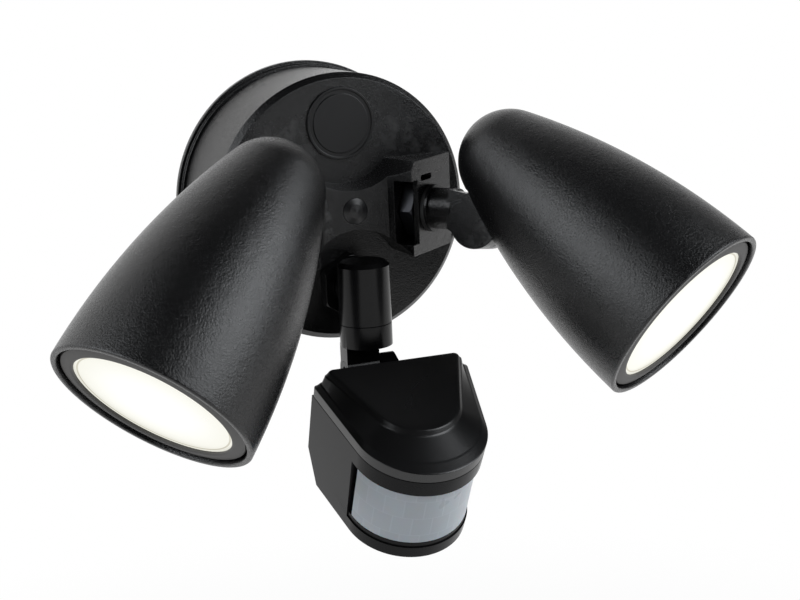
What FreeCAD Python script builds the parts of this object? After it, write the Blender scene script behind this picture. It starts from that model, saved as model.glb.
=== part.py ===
import FreeCAD, Part
import Sketcher
import math
import os

# Twin-head security light with a motion sensor. Millimetres, +Z up, -Y out of the wall.
# The origin lies on the wall, on the axis of the round canopy.

doc = FreeCAD.newDocument("security_light")
sheet = doc.addObject("Spreadsheet::Sheet", "sizes")


class Size:
    """A length or angle that knows its number and the expression that gives it."""

    def __init__(self, value, text):
        self.value = float(value)
        self.text = text

    def combine(self, other, sign, value):
        return Size(value, "(%s %s %s)" % (self.text, sign, other.text))

    def __add__(self, other):
        other = as_size(other)
        return self.combine(other, "+", self.value + other.value)

    def __sub__(self, other):
        other = as_size(other)
        return self.combine(other, "-", self.value - other.value)

    def __mul__(self, other):
        other = as_size(other)
        return self.combine(other, "*", self.value * other.value)

    def __truediv__(self, other):
        other = as_size(other)
        return self.combine(other, "/", self.value / other.value)

    def __radd__(self, other):
        return as_size(other) + self

    def __rsub__(self, other):
        return as_size(other) - self

    def __rmul__(self, other):
        return as_size(other) * self

    def __neg__(self):
        return Size(-self.value, "(0 - %s)" % self.text)


def as_size(number):
    return number if isinstance(number, Size) else Size(number, repr(float(number)))


def cosine(angle):
    return Size(math.cos(math.radians(angle.value)), "cos(%s)" % angle.text)


def sine(angle):
    return Size(math.sin(math.radians(angle.value)), "sin(%s)" % angle.text)


def root(area):
    return Size(math.sqrt(area.value), "sqrt(%s)" % area.text)


rows = []


def size(alias, value):
    """Write one driving size into the sheet under its alias."""
    rows.append(alias)
    cell = "B%d" % len(rows)
    sheet.set("A%d" % len(rows), alias)
    sheet.set(cell, str(value))
    sheet.setAlias(cell, alias)
    return Size(value, "sizes." + alias)


# ---- wall side of the canopy ----
canopy_radius = size("canopy_radius", 60.0)
flange_radius = size("flange_radius", 62.8)
flange_thickness = size("flange_thickness", 2.9)
flange_step = size("flange_step", 2.0)
base_floor = size("base_floor", 2.2)
flange_setback = size("flange_setback", 1.6)
base_spigot_rise = size("base_spigot_rise", 5.0)
base_spigot_wall = size("base_spigot_wall", 2.0)
bracket_radius = size("bracket_radius", 49.0)
bracket_sheet = size("bracket_sheet", 1.8)
bracket_gap = size("bracket_gap", 0.6)
bush_wall = size("bush_wall", 3.0)
slot_spacing = size("slot_spacing", 66.0)
slot_travel = size("slot_travel", 14.0)
slot_width = size("slot_width", 5.2)
wire_hole_radius = size("wire_hole_radius", 13.0)
wire_hole_drop = size("wire_hole_drop", 25.0)
gasket_width = size("gasket_width", 4.0)
gasket_land = size("gasket_land", 2.1)
gasket_thickness = size("gasket_thickness", 1.8)
seat_gap = size("seat_gap", 0.3)
fit_gap = size("fit_gap", 0.15)
turn_play = size("turn_play", 0.08)
cut_past = size("cut_past", 1.0)

# ---- front housing ----
housing_depth = size("housing_depth", 47.5)
rim_chamfer = size("rim_chamfer", 2.4)
housing_wall = size("housing_wall", 2.6)
platform_half_width = size("platform_half_width", 52.0)
platform_top = size("platform_top", 20.5)
platform_bottom = size("platform_bottom", 21.5)
ear_start = size("ear_start", 16.0)
ear_shoulder = size("ear_shoulder", 22.5)
platform_draft = size("platform_draft", 9.0)
platform_rise = size("platform_rise", 2.4)
upper_recess_radius = size("upper_recess_radius", 30.6)
lower_recess_radius = size("lower_recess_radius", 26.6)
plug_height = size("plug_height", 37.7)
stub_height = size("stub_height", 35.0)

# ---- plugs and screws of the canopy ----
blank_radius = size("blank_radius", 16.0)
blank_head = size("blank_head", 1.2)
blank_rim = size("blank_rim", 1.12)
blank_groove = size("blank_groove", 1.76)
blank_thread_radius = size("blank_thread_radius", 10.0)
blank_thread_length = size("blank_thread_length", 9.0)
screw_plug_radius = size("screw_plug_radius", 5.7)
screw_plug_depth = size("screw_plug_depth", 3.2)
plug_dome_rise = size("plug_dome_rise", 1.6)
plug_shoulder_radius = size("plug_shoulder_radius", 3.135)
plug_shoulder_rise = size("plug_shoulder_rise", 1.12)
screw_radius = size("screw_radius", 2.5)
screw_head_radius = size("screw_head_radius", 4.4)
screw_head_height = size("screw_head_height", 3.0)
screw_socket = size("screw_socket", 4.0)
thread_clearance = size("thread_clearance", 0.15)

# ---- driver and terminal block ----
driver_width = size("driver_width", 62.0)
driver_breadth = size("driver_breadth", 24.0)
driver_bottom = size("driver_bottom", 12.0)
driver_depth = size("driver_depth", 24.0)
block_width = size("block_width", 24.0)
block_breadth = size("block_breadth", 16.0)
block_depth = size("block_depth", 13.0)
block_side = size("block_side", 20.0)
block_port = size("block_port", 2.4)

# ---- arms and knuckles ----
arm_cant = size("arm_cant", 55.0)
arm_side = size("arm_side", 33.7)
arm_rise = size("arm_rise", 10.1)
arm_drop = size("arm_drop", 2.2)
arm_radius = size("arm_radius", 9.2)
arm_bore = size("arm_bore", 5.5)
arm_tail = size("arm_tail", 14.0)
arm_bore_length = size("arm_bore_length", 28.0)
arm_nut_flats = size("arm_nut_flats", 23.0)
arm_nut_height = size("arm_nut_height", 6.2)
nut_corner_share = size("nut_corner_share", 0.06)
nut_room = size("nut_room", 0.9)
boss_plate = size("boss_plate", 2.5)
boss_face = size("boss_face", 4.7)
boss_wall = size("boss_wall", 6.5)
boss_inset = size("boss_inset", 13.3)
sight_slot_rise = size("sight_slot_rise", 14.6)
sight_slot_shift = size("sight_slot_shift", 3.5)
sight_slot_half = size("sight_slot_half", 3.6)
sight_slot_radius = size("sight_slot_radius", 1.3)
pocket_front = size("pocket_front", 14.1)
collar_radius = size("collar_radius", 10.6)
collar_thickness = size("collar_thickness", 1.2)
seal_thickness = size("seal_thickness", 1.6)
left_reach = size("left_reach", 20.4)
right_reach = size("right_reach", 31.0)
pivot_drop = size("pivot_drop", 5.4)
lug_radius = size("lug_radius", 11.6)
lug_thickness = size("lug_thickness", 8.6)
lug_gap = size("lug_gap", 0.3)
lug_room = size("lug_room", 0.6)
pivot_bolt_radius = size("pivot_bolt_radius", 3.0)
pivot_bolt_head = size("pivot_bolt_head", 5.2)
pivot_bolt_grip = size("pivot_bolt_grip", 6.88)
pivot_bolt_socket = size("pivot_bolt_socket", 4.8)
pivot_head_height = size("pivot_head_height", 3.6)
bolt_blind = size("bolt_blind", 1.29)
left_swivel = size("left_swivel", 25.5)
right_swivel = size("right_swivel", -10.6)
left_tilt = size("left_tilt", 40.5)
right_tilt = size("right_tilt", 53.7)
steepest_tilt = size("steepest_tilt", 61.0)

# ---- lamp heads ----
mouth_radius = size("mouth_radius", 43.0)
head_length = size("head_length", 127.6)
side_curve = size("side_curve", 319.5)
dome_radius = size("dome_radius", 22.9)
shell_wall = size("shell_wall", 2.6)
mouth_lip = size("mouth_lip", 1.04)
core_radius = size("core_radius", 12.0)
core_start = size("core_start", 81.0)
core_end = size("core_end", 8.0)
pivot_arm = size("pivot_arm", 28.0)
pivot_station = size("pivot_station", 96.0)
bezel_recess = size("bezel_recess", 1.6)
bezel_depth = size("bezel_depth", 7.0)
bezel_margin = size("bezel_margin", 9.2)
bezel_wall = size("bezel_wall", 1.8)
diffuser_thickness = size("diffuser_thickness", 2.4)
ring_gasket = size("ring_gasket", 1.5)
board_thickness = size("board_thickness", 1.6)
board_gap = size("board_gap", 8.0)
board_share = size("board_share", 0.9)
chip_ring_share = size("chip_ring_share", 0.6)
heat_plate_thickness = size("heat_plate_thickness", 3.0)
chip_width = size("chip_width", 3.2)
chip_height = size("chip_height", 0.9)
chip_count = 8

# ---- sensor stem and collar ----
stem_reach = size("stem_reach", 18.1)
stem_radius = size("stem_radius", 11.7)
stem_top = size("stem_top", 21.3)
stem_bottom = size("stem_bottom", 48.8)
stem_bore = size("stem_bore", 7.5)
stem_crown = size("stem_crown", 1.8)
stub_radius = size("stub_radius", 9.0)
stub_bore = size("stub_bore", 5.2)
stub_tail = size("stub_tail", 14.0)
stub_nut_flats = size("stub_nut_flats", 26.0)
stub_nut_height = size("stub_nut_height", 6.0)
seam_gap = size("seam_gap", 0.35)
collar_height = size("collar_height", 9.9)
spigot_length = size("spigot_length", 9.0)
sensor_pan = size("sensor_pan", 4.2)
tongue_left = size("tongue_left", 11.0)
tongue_right = size("tongue_right", 4.2)
tongue_thickness = size("tongue_thickness", 9.0)
hinge_height = size("hinge_height", 69.7)
hinge_radius = size("hinge_radius", 5.6)
hinge_bolt_radius = size("hinge_bolt_radius", 2.0)
hinge_bolt_head = size("hinge_bolt_head", 3.8)
hinge_head_height = size("hinge_head_height", 2.4)
hinge_bolt_grip = size("hinge_bolt_grip", 6.64)
hinge_bolt_socket = size("hinge_bolt_socket", 3.2)
ear_width = size("ear_width", 8.3)

# ---- sensor head ----
sensor_tilt = size("sensor_tilt", 26.1)
sensor_round = size("sensor_round", 28.8)
sensor_reach = size("sensor_reach", 62.3)
plan_angle = size("plan_angle", 10.3)
side_draft = size("side_draft", 2.2)
front_draft = size("front_draft", 2.9)
sensor_wall = size("sensor_wall", 2.2)
back_gap = size("back_gap", 24.7)
seam_rise = size("seam_rise", 11.0)
body_height = size("body_height", 45.1)
rim_height = size("rim_height", 5.7)
rim_step = size("rim_step", 0.7)
post_width = size("post_width", 1.5)
post_overlap = size("post_overlap", 2.5)
cap_band = size("cap_band", 5.2)
bevel_height = size("bevel_height", 1.6)
bevel_round = size("bevel_round", 27.4)
bevel_reach = size("bevel_reach", 57.6)
roof_height = size("roof_height", 11.4)
roof_thickness = size("roof_thickness", 1.6)
crest_round = size("crest_round", 21.7)
crest_reach = size("crest_reach", 44.4)
crest_height = size("crest_height", 1.3)
crest_slope = size("crest_slope", 1.9)
cap_skirt = size("cap_skirt", 2.4)
lens_top = size("lens_top", 7.6)
lens_bottom = size("lens_bottom", 36.9)
lens_thickness = size("lens_thickness", 1.2)
lens_inset = size("lens_inset", 0.8)
lens_back = size("lens_back", 35.0)
lens_side_gap = size("lens_side_gap", 2.3)
heel_height = size("heel_height", 15.0)
heel_length = size("heel_length", 9.0)
heel_land = size("heel_land", 4.4)
heel_side_wall = size("heel_side_wall", 3.3)
heel_room_rise = size("heel_room_rise", 6.6)
heel_room_length = size("heel_room_length", 8.8)
roof_back_wall = size("roof_back_wall", 3.3)
board_station = size("board_station", 24.0)
board_width = size("board_width", 42.0)
detector_radius = size("detector_radius", 4.6)
detector_length = size("detector_length", 4.4)
dial_radius = size("dial_radius", 4.2)
dial_spacing = size("dial_spacing", 13.0)
dial_station = size("dial_station", 25.0)
dial_height = size("dial_height", 2.2)
dial_shaft = size("dial_shaft", 2.0)
dial_slot = size("dial_slot", 1.0)
doc.recompute()

# ---- depths that follow the housing's face, and the bezel's opening ----
arm_depth = housing_depth + arm_rise
platform_depth = arm_depth + platform_rise
stem_depth = housing_depth + stem_reach
bezel_opening = mouth_radius - bezel_margin


# ---- placements ----
def step(x, y, z, axis=None, angle=None):
    """The expression for one shift followed by one turn about X, Y or Z."""
    x, y, z = (as_size(number).text for number in (x, y, z))
    vector = "create(<<vector>>; %s; %s; %s)" % (x, y, z)
    if axis is None:
        return "create(<<placement>>; %s; create(<<rotation>>; create(<<vector>>; 0; 0; 1); 0))" % vector
    unit = {"X": "1; 0; 0", "Y": "0; 1; 0", "Z": "0; 0; 1"}[axis]
    turn = "create(<<rotation>>; create(<<vector>>; %s); %s)" % (unit, as_size(angle).text)
    return "create(<<placement>>; %s; %s)" % (vector, turn)


# ---- drawing helpers ----
PLANES = {"front": "XZ_Plane", "top": "XY_Plane", "side": "YZ_Plane"}


class Piece:
    """A body with its sketches and features; sketch planes are the body's own origin planes."""

    def __init__(self, name):
        self.body = doc.addObject("PartDesign::Body", name)
        self.body.Label = name
        self.name = name

    def sketch(self, plane, height, loops):
        """A sketch at a height above an origin plane; a placement expression may stand for the height."""
        profile = self.body.newObject("Sketcher::SketchObject", self.name + "_profile")
        roles = {feature.Role: feature for feature in self.body.Origin.OriginFeatures}
        profile.AttachmentSupport = [(roles[PLANES[plane]], "")]
        profile.MapMode = "FlatFace"
        lift = height if isinstance(height, str) else step(0, 0, height)
        profile.setExpression("AttachmentOffset", lift)
        for loop in loops:
            loop(profile)
        return profile

    def feature(self, kind, profile, length, reverse=False, taper=None):
        made = self.body.newObject("PartDesign::" + kind, self.name + "_" + kind.lower())
        made.Profile = profile
        length = as_size(length)
        made.Length = length.value
        made.setExpression("Length", length.text)
        made.Reversed = reverse
        if taper is not None:
            made.TaperAngle = taper.value
            made.setExpression("TaperAngle", taper.text)
        profile.Visibility = False
        self.body.Tip = made
        return made

    def pad(self, plane, height, loops, length, **options):
        return self.feature("Pad", self.sketch(plane, height, loops), length, **options)

    def cut(self, plane, height, loops, length, **options):
        """Remove the profile along the plane's normal for the given length."""
        options["reverse"] = not options.get("reverse", False)
        return self.feature("Pocket", self.sketch(plane, height, loops), length, **options)

    def turn(self, kind, plane, loops):
        """Add or remove the profile turned about the sketch's second axis."""
        profile = self.sketch(plane, 0, loops)
        made = self.body.newObject("PartDesign::" + kind, self.name + "_" + kind.lower())
        made.Profile = profile
        made.ReferenceAxis = (profile, ["V_Axis"])
        made.Angle = 360
        profile.Visibility = False
        self.body.Tip = made
        return made

    def loft(self, kind, sections):
        """A ruled loft through outlines in the top plane, given as (height, loop) pairs."""
        first, *others = [self.sketch("top", height, [loop]) for height, loop in sections]
        made = self.body.newObject("PartDesign::" + kind, self.name + "_" + kind.lower())
        made.Profile = first
        made.Sections = others
        made.Ruled = True
        for profile in [first] + others:
            profile.Visibility = False
        self.body.Tip = made
        return made

    def place(self, text):
        self.body.setExpression("Placement", text)
        return self


def fix(profile, kind, element, point, value):
    """Hold one coordinate of a point of the sketch."""
    value = as_size(value)
    index = profile.addConstraint(Sketcher.Constraint("Distance" + kind, -1, 1, element, point, value.value))
    profile.setExpression("Constraints[%d]" % index, value.text)


def circle(x, y, radius):
    def draw(profile):
        x_size = as_size(x)
        y_size = as_size(y)
        radius_size = as_size(radius)
        centre = FreeCAD.Vector(x_size.value, y_size.value, 0)
        normal = FreeCAD.Vector(0, 0, 1)
        element = profile.addGeometry(Part.Circle(centre, normal, radius_size.value), False)
        fix(profile, "X", element, 3, x_size)
        fix(profile, "Y", element, 3, y_size)
        index = profile.addConstraint(Sketcher.Constraint("Radius", element, radius_size.value))
        profile.setExpression("Constraints[%d]" % index, radius_size.text)
    return draw


def arc_geometry(start, end, centre):
    """The shorter arc between two points about a centre, and whether it runs from start to end."""
    first = math.atan2(start.y - centre.y, start.x - centre.x)
    last = math.atan2(end.y - centre.y, end.x - centre.x)
    turn = (last - first) % (2 * math.pi)
    radius = (start - centre).Length
    ring = Part.Circle(centre, FreeCAD.Vector(0, 0, 1), radius)
    if turn <= math.pi + 1e-6:
        return Part.ArcOfCircle(ring, first, first + turn), True
    return Part.ArcOfCircle(ring, last, last + 2 * math.pi - turn), False


def outline(*steps):
    """A closed outline: each step is a corner (x, y), or (x, y, centre x, centre y) for the end of an arc."""
    def draw(profile):
        corners = [tuple(as_size(number) for number in step) for step in steps]
        ends = []
        for place, corner in enumerate(corners):
            previous = corners[place - 1]
            start = FreeCAD.Vector(previous[0].value, previous[1].value, 0)
            end = FreeCAD.Vector(corner[0].value, corner[1].value, 0)
            if len(corner) == 2:
                element = profile.addGeometry(Part.LineSegment(start, end), False)
                ends.append((element, 1, 2))
                continue
            centre = FreeCAD.Vector(corner[2].value, corner[3].value, 0)
            shape, forward = arc_geometry(start, end, centre)
            element = profile.addGeometry(shape, False)
            ends.append((element, 1, 2) if forward else (element, 2, 1))
        for place, corner in enumerate(corners):
            element, first, last = ends[place]
            before = ends[place - 1]
            profile.addConstraint(Sketcher.Constraint("Coincident", before[0], before[2], element, first))
            if len(corner) == 2:
                fix(profile, "X", element, last, corner[0])
                fix(profile, "Y", element, last, corner[1])
                continue
            fix(profile, "X", element, 3, corner[2])
            fix(profile, "Y", element, 3, corner[3])
            across = abs(corner[0].value - corner[2].value)
            along = abs(corner[1].value - corner[3].value)
            if across > along:
                fix(profile, "Y", element, last, corner[1])
            else:
                fix(profile, "X", element, last, corner[0])
    return draw


def box_outline(x_low, x_high, y_low, y_high):
    return outline((x_low, y_low), (x_high, y_low), (x_high, y_high), (x_low, y_high))


def hexagon(x, y, flats):
    """A six-sided outline with flats at the two sides."""
    flats = as_size(flats)
    corner = flats / math.sqrt(3)
    half = corner / 2
    side = flats / 2
    return outline((x + side, y + half), (x, y + corner), (x - side, y + half),
                   (x - side, y - half), (x, y - corner), (x + side, y - half))


def slot(x, y, half_travel, radius):
    """A slot with round ends that runs along the sketch's first axis."""
    x = as_size(x)
    y = as_size(y)
    return outline((x + half_travel, y - radius), (x + half_travel, y + radius, x + half_travel, y),
                   (x - half_travel, y + radius), (x - half_travel, y - radius, x - half_travel, y))


pieces = []


def keep(piece, placement=None):
    """Add a finished sub-part to the list that is written out."""
    if placement is not None:
        piece.place(placement)
    pieces.append(piece.body)
    return piece


# ---- wall bracket, gasket and rear base ----
bracket = Piece("wall_bracket")
bracket.pad("front", 0, [circle(0, 0, bracket_radius)], bracket_sheet)
bush_radius = screw_radius + bush_wall
bush_height = flange_thickness + flange_step
bracket.pad("front", 0, [circle(0, 0, bush_radius)], bush_height)
slot_half = slot_travel / 2 - slot_width / 2
bracket.cut("front", 0, [slot(slot_spacing / 2, 0, slot_half, slot_width / 2),
                         slot(0 - slot_spacing / 2, 0, slot_half, slot_width / 2),
                         circle(0, 0 - wire_hole_drop, wire_hole_radius)], bracket_sheet)
bracket.cut("front", 0, [circle(0, 0, screw_radius + thread_clearance)], bush_height)
keep(bracket)

groove_inner = bracket_radius + gasket_land
gasket_outer = groove_inner + fit_gap + gasket_width
gasket = Piece("wall_gasket")
gasket.pad("front", 0, [circle(0, 0, gasket_outer), circle(0, 0, groove_inner + fit_gap)],
           gasket_thickness)
keep(gasket)

housing_start = flange_thickness + flange_step
spigot_outer = canopy_radius - housing_wall - fit_gap
spigot_end = housing_start + base_spigot_rise
recess_depth = bracket_sheet + seat_gap
base = Piece("rear_base")
base.pad("front", 0, [circle(0, 0, flange_radius)], flange_thickness)
base.pad("front", flange_thickness, [circle(0, 0, flange_radius - flange_setback)], flange_step)
base.pad("front", housing_start, [circle(0, 0, spigot_outer)], spigot_end - housing_start)
base.cut("front", 0, [circle(0, 0, bracket_radius + bracket_gap)], recess_depth)
base.cut("front", 0, [circle(0, 0, gasket_outer + fit_gap), circle(0, 0, groove_inner)], gasket_thickness)
inside_height = recess_depth + base_floor
base.cut("front", inside_height, [circle(0, 0, spigot_outer - base_spigot_wall)], spigot_end - inside_height)
base.cut("front", 0, [circle(0, 0, bush_radius + seat_gap), circle(0, 0 - wire_hole_drop, wire_hole_radius)],
         inside_height)
keep(base)

# ---- front housing: deep cup, bow-tie platform and slanted bosses ----
housing = Piece("front_housing")
inner_radius = canopy_radius - housing_wall
inner_face = housing_depth - housing_wall
housing.turn("Revolution", "top", [outline(
    (canopy_radius, 0 - housing_start), (canopy_radius, 0 - (housing_depth - rim_chamfer)),
    (canopy_radius - rim_chamfer, 0 - housing_depth), (0, 0 - housing_depth), (0, 0 - inner_face),
    (inner_radius, 0 - inner_face), (inner_radius, 0 - housing_start))])
cant_cos = cosine(arm_cant)
cant_sin = sine(arm_cant)
face_side = arm_side + boss_face * cant_cos
face_depth = arm_depth + boss_face * cant_sin


def face_at(x):
    """Depth of the slanted boss face at a distance x from the middle."""
    return face_depth - (x - face_side) * cant_cos / cant_sin


platform_height = platform_top + platform_bottom
ear_end = face_at(platform_half_width)
ear_crown = face_at(ear_shoulder)
housing.pad("top", 0 - platform_bottom, [outline(
    (0 - platform_half_width, 0 - inner_face), (platform_half_width, 0 - inner_face),
    (platform_half_width, 0 - ear_end), (ear_shoulder, 0 - ear_crown), (ear_start, 0 - platform_depth),
    (0 - ear_start, 0 - platform_depth), (0 - ear_shoulder, 0 - ear_crown),
    (0 - platform_half_width, 0 - ear_end))], platform_height)
recess_length = ear_crown - housing_depth
housing.cut("front", ear_crown, [circle(0, plug_height, upper_recess_radius)], recess_length,
            reverse=True, taper=0 - platform_draft)
housing.cut("front", ear_crown, [circle(0, 0 - stub_height, lower_recess_radius)], recess_length,
            reverse=True)
boss_inner = arm_side - boss_inset
boss_outer = platform_half_width - housing_wall / 2
boss_half = platform_bottom - housing_wall
boss_back = housing_depth - boss_wall
for side in (1, -1):
    backing = box_outline(side * boss_inner, side * boss_outer, 0 - boss_half, boss_half)
    housing.pad("front", boss_back, [backing], boss_wall)


def boss_point(side, across, out):
    """A point in the top view, given across the slanted face and out along the arm."""
    x = arm_side + across * cant_sin + out * cant_cos
    y = across * cant_cos - out * cant_sin - arm_depth
    return side * x, y


def boss_plane(side, out):
    """The plane square to the arm at a distance out along it, for a sketch on the front plane."""
    x, y = boss_point(side, as_size(0), as_size(out))
    return step(x, 0 - arm_drop, 0 - y, "Y", side * (90 - arm_cant))


nut_corner = arm_nut_flats / math.sqrt(3)
pocket_floor = boss_face - boss_plate - nut_room - arm_nut_height
pocket_reach = nut_corner + seat_gap
pocket_half = nut_corner + nut_room
pocket_edge = collar_radius + nut_room
hole_radius = arm_radius + turn_play
for side in (1, -1):
    corners = [(0 - lower_recess_radius, pocket_floor), (pocket_reach, pocket_floor),
               (pocket_reach, boss_face - boss_plate), (0 - pocket_edge, boss_face - boss_plate),
               (0 - pocket_edge, pocket_front), (0 - lower_recess_radius, pocket_front)]
    pocket = outline(*[boss_point(side, as_size(across), out) for across, out in corners])
    housing.cut("top", 0 - arm_drop - pocket_half, [pocket], pocket_half * 2)
    housing.cut("front", boss_plane(side, boss_face + nut_room), [circle(0, 0, hole_radius)],
                boss_face + nut_room + arm_bore_length, reverse=True)
    sight_slot = slot(0 - side * sight_slot_shift, sight_slot_rise, sight_slot_half, sight_slot_radius)
    housing.cut("front", boss_plane(side, boss_face + nut_room), [sight_slot], nut_room + boss_plate + nut_room,
                reverse=True)
plug_seat = platform_depth - screw_plug_depth
head_seat = plug_seat - screw_head_height - seat_gap
housing.cut("front", platform_depth + cut_past, [circle(0, 0, screw_plug_radius + fit_gap)],
            screw_plug_depth + cut_past, reverse=True)
housing.cut("front", plug_seat + cut_past, [circle(0, 0, screw_head_radius + seat_gap)],
            plug_seat + cut_past - head_seat, reverse=True)
housing.cut("front", head_seat + cut_past, [circle(0, 0, screw_radius + thread_clearance)],
            head_seat + cut_past - inner_face + boss_wall, reverse=True)
housing.cut("front", housing_depth + cut_past,
            [circle(0, plug_height, blank_thread_radius + thread_clearance),
             circle(0, 0 - stub_height, stub_radius + thread_clearance)],
            housing_wall + cut_past * 2, reverse=True)
keep(housing)

# ---- plugs, centre screw and lock nuts ----
blank = Piece("blanking_plug")
blank_face = housing_depth + blank_head
blank.pad("front", housing_depth, [circle(0, plug_height, blank_radius)], blank_head)
blank.pad("front", housing_depth - blank_thread_length, [circle(0, plug_height, blank_thread_radius)],
          blank_thread_length)
groove_outer = blank_radius - blank_rim
blank.cut("front", blank_face, [circle(0, plug_height, groove_outer),
                                circle(0, plug_height, groove_outer - blank_groove)],
          blank_head / 2, reverse=True)
keep(blank)

screw = Piece("centre_screw")
screw.pad("front", flange_thickness, [circle(0, 0, screw_radius)], head_seat - flange_thickness)
screw.pad("front", head_seat, [circle(0, 0, screw_head_radius)], screw_head_height)
screw.cut("front", head_seat + screw_head_height, [hexagon(0, 0, screw_socket)], screw_head_height / 2,
          reverse=True)
keep(screw)

screw_plug = Piece("centre_screw_plug")
plug_front = plug_seat + screw_plug_depth
screw_plug.turn("Revolution", "top", [outline(
    (screw_plug_radius, 0 - (plug_seat + seat_gap)), (screw_plug_radius, 0 - plug_front),
    (plug_shoulder_radius, 0 - (plug_front + plug_shoulder_rise)), (0, 0 - (plug_front + plug_dome_rise)),
    (0, 0 - (plug_seat + seat_gap)))])
keep(screw_plug)


def lock_nut(name, flats, height, bore):
    """A hexagon nut with its corners turned off, along the body's own Z."""
    nut = Piece(name)
    nut.pad("top", 0, [hexagon(0, 0, flats), circle(0, 0, bore)], height)
    corner = flats / math.sqrt(3)
    edge = corner * nut_corner_share
    nut.turn("Groove", "front", [outline((corner - edge, height), (corner + edge, height),
                                         (corner + edge, height - edge * 2))])
    nut.turn("Groove", "front", [outline((corner - edge, 0), (corner + edge, edge * 2), (corner + edge, 0))])
    return nut


stub_nut = lock_nut("sensor_lock_nut", stub_nut_flats, stub_nut_height, stub_radius + thread_clearance)
keep(stub_nut, step(0, 0 - housing_depth, 0 - stub_height, "X", 90))

# ---- inner pieces of the canopy ----
board_seat = inside_height + seat_gap
driver = Piece("led_driver")
driver.pad("front", board_seat, [box_outline(0 - driver_width / 2, driver_width / 2, driver_bottom,
                                             driver_bottom + driver_breadth)], driver_depth)
keep(driver)
block = Piece("terminal_block")
block_low = 0 - block_breadth / 2
block.pad("front", board_seat, [box_outline(0 - block_side - block_width, 0 - block_side, block_low,
                                            block_breadth / 2)], block_depth)
block_pitch = block_width / 3
block_ports = [0 - block_side - block_width / 2 + block_pitch * shift for shift in (-1, 0, 1)]
block.cut("front", board_seat + block_depth, [circle(x, 0, block_port) for x in block_ports],
          block_depth / 2, reverse=True)
keep(block)

# ---- arms: a threaded tube, a collar and a knuckle disc ----
lug_inner = lug_gap / 2


def boss_frame(side):
    """The canted boss: X out along the arm's axis."""
    heading = 0 - arm_cant if side > 0 else 180 + arm_cant
    return step(side * arm_side, 0 - arm_depth, 0 - arm_drop, "Z", heading)


def arm_frame(side, swivel):
    """The arm's frame: X out along the arm, Y along the pivot, on the canted boss."""
    return boss_frame(side) + " * " + step(0, 0, 0, "X", side * swivel)


def layer(side, low, high):
    """Height and length of a pad on the front plane from low to high along the pivot, on the arm's side."""
    return (low, high - low) if side > 0 else (0 - high, high - low)


def make_arm(prefix, side, swivel, reach):
    frame = arm_frame(side, swivel)
    arm = Piece(prefix + "_arm")
    collar_start = boss_face + seal_thickness + seat_gap
    shank_end = reach - lug_radius - lug_room
    arm.pad("side", 0 - arm_tail, [circle(0, 0, arm_radius)], arm_tail + shank_end)
    arm.pad("side", collar_start, [circle(0, 0, collar_radius)], collar_thickness)
    height, length = layer(side, lug_inner, lug_inner + lug_thickness)
    arm.pad("front", height, [circle(reach, 0 - pivot_drop, lug_radius)], length)
    neck_start = shank_end - collar_thickness
    neck_half = arm_radius - lug_room
    arm.pad("front", height, [outline(
        (neck_start, 0 - neck_half), (reach, lug_room - pivot_drop - lug_radius),
        (reach, lug_radius - pivot_drop), (neck_start, neck_half))], length)
    arm.cut("side", 0 - arm_tail, [circle(0, 0, arm_bore)], arm_tail + collar_start)
    height, length = layer(side, lug_inner, lug_inner + lug_thickness - bolt_blind)
    arm.cut("front", height, [circle(reach, 0 - pivot_drop, pivot_bolt_radius + thread_clearance)], length)
    keep(arm, frame)

    seal = Piece(prefix + "_arm_seal")
    seal.pad("side", boss_face + seat_gap / 2, [circle(0, 0, collar_radius), circle(0, 0, hole_radius)],
             seal_thickness)
    keep(seal, frame)

    nut = lock_nut(prefix + "_lock_nut", arm_nut_flats, arm_nut_height, hole_radius)
    nut_back = pocket_floor + nut_room / 2
    keep(nut, boss_frame(side) + " * " + step(nut_back, 0, 0, "Y", 90))
    return frame


# ---- lamp heads: bullet shells with a recessed bezel ----
dome_station = 0 - (head_length - dome_radius)
curve_gap = side_curve - dome_radius


def side_centre():
    """Centre of the long side curve, which passes the mouth and runs tangent into the dome."""
    reach = mouth_radius * mouth_radius + dome_station * dome_station
    distance = root(reach)
    along = (side_curve * side_curve - curve_gap * curve_gap + reach) / (distance * 2)
    aside = root(side_curve * side_curve - along * along)
    unit_x = (0 - mouth_radius) / distance
    unit_z = dome_station / distance
    return mouth_radius + unit_x * along + unit_z * aside, unit_z * along - unit_x * aside


curve_x, curve_z = side_centre()


def bullet(inset):
    """Half outline of the shell, closed on its axis, at an inset from the outside."""
    inset = as_size(inset)
    touch = (dome_radius - inset) / curve_gap
    touch_x = (0 - curve_x) * touch
    touch_z = dome_station + (dome_station - curve_z) * touch
    radius = side_curve - inset
    mouth = curve_x + root(radius * radius - curve_z * curve_z)
    return outline((mouth, 0), (touch_x, touch_z, curve_x, curve_z),
                   (0, inset - head_length, 0, dome_station), (0, 0))


inside_curve = side_curve - shell_wall


def room_at(z):
    """Inside radius of the shell at a station behind the mouth."""
    return curve_x + root(inside_curve * inside_curve - (z - curve_z) * (z - curve_z))


bezel_front = 0 - bezel_recess
bezel_back = bezel_front - bezel_depth
bezel_outer = room_at(bezel_back) - fit_gap
diffuser_outer = bezel_outer - bezel_wall - fit_gap
diffuser_front = bezel_front - bezel_wall - fit_gap
gasket_front = diffuser_front - diffuser_thickness
board_front = gasket_front - board_gap
plate_front = board_front - board_thickness
plate_back = plate_front - heat_plate_thickness


def disc(name, radius, back, front):
    piece = Piece(name)
    piece.pad("top", back, [circle(0, 0, radius)], front - back)
    return piece


slot_radius = lug_radius + lug_room
slot_top = slot_radius - pivot_station
steep_cos = cosine(steepest_tilt)
steep_sin = sine(steepest_tilt)
neck_back = lug_radius + lug_room + collar_thickness
neck_side = arm_radius + pivot_drop
lug_half = lug_thickness / 2
head_offset = lug_inner + lug_half


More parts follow.
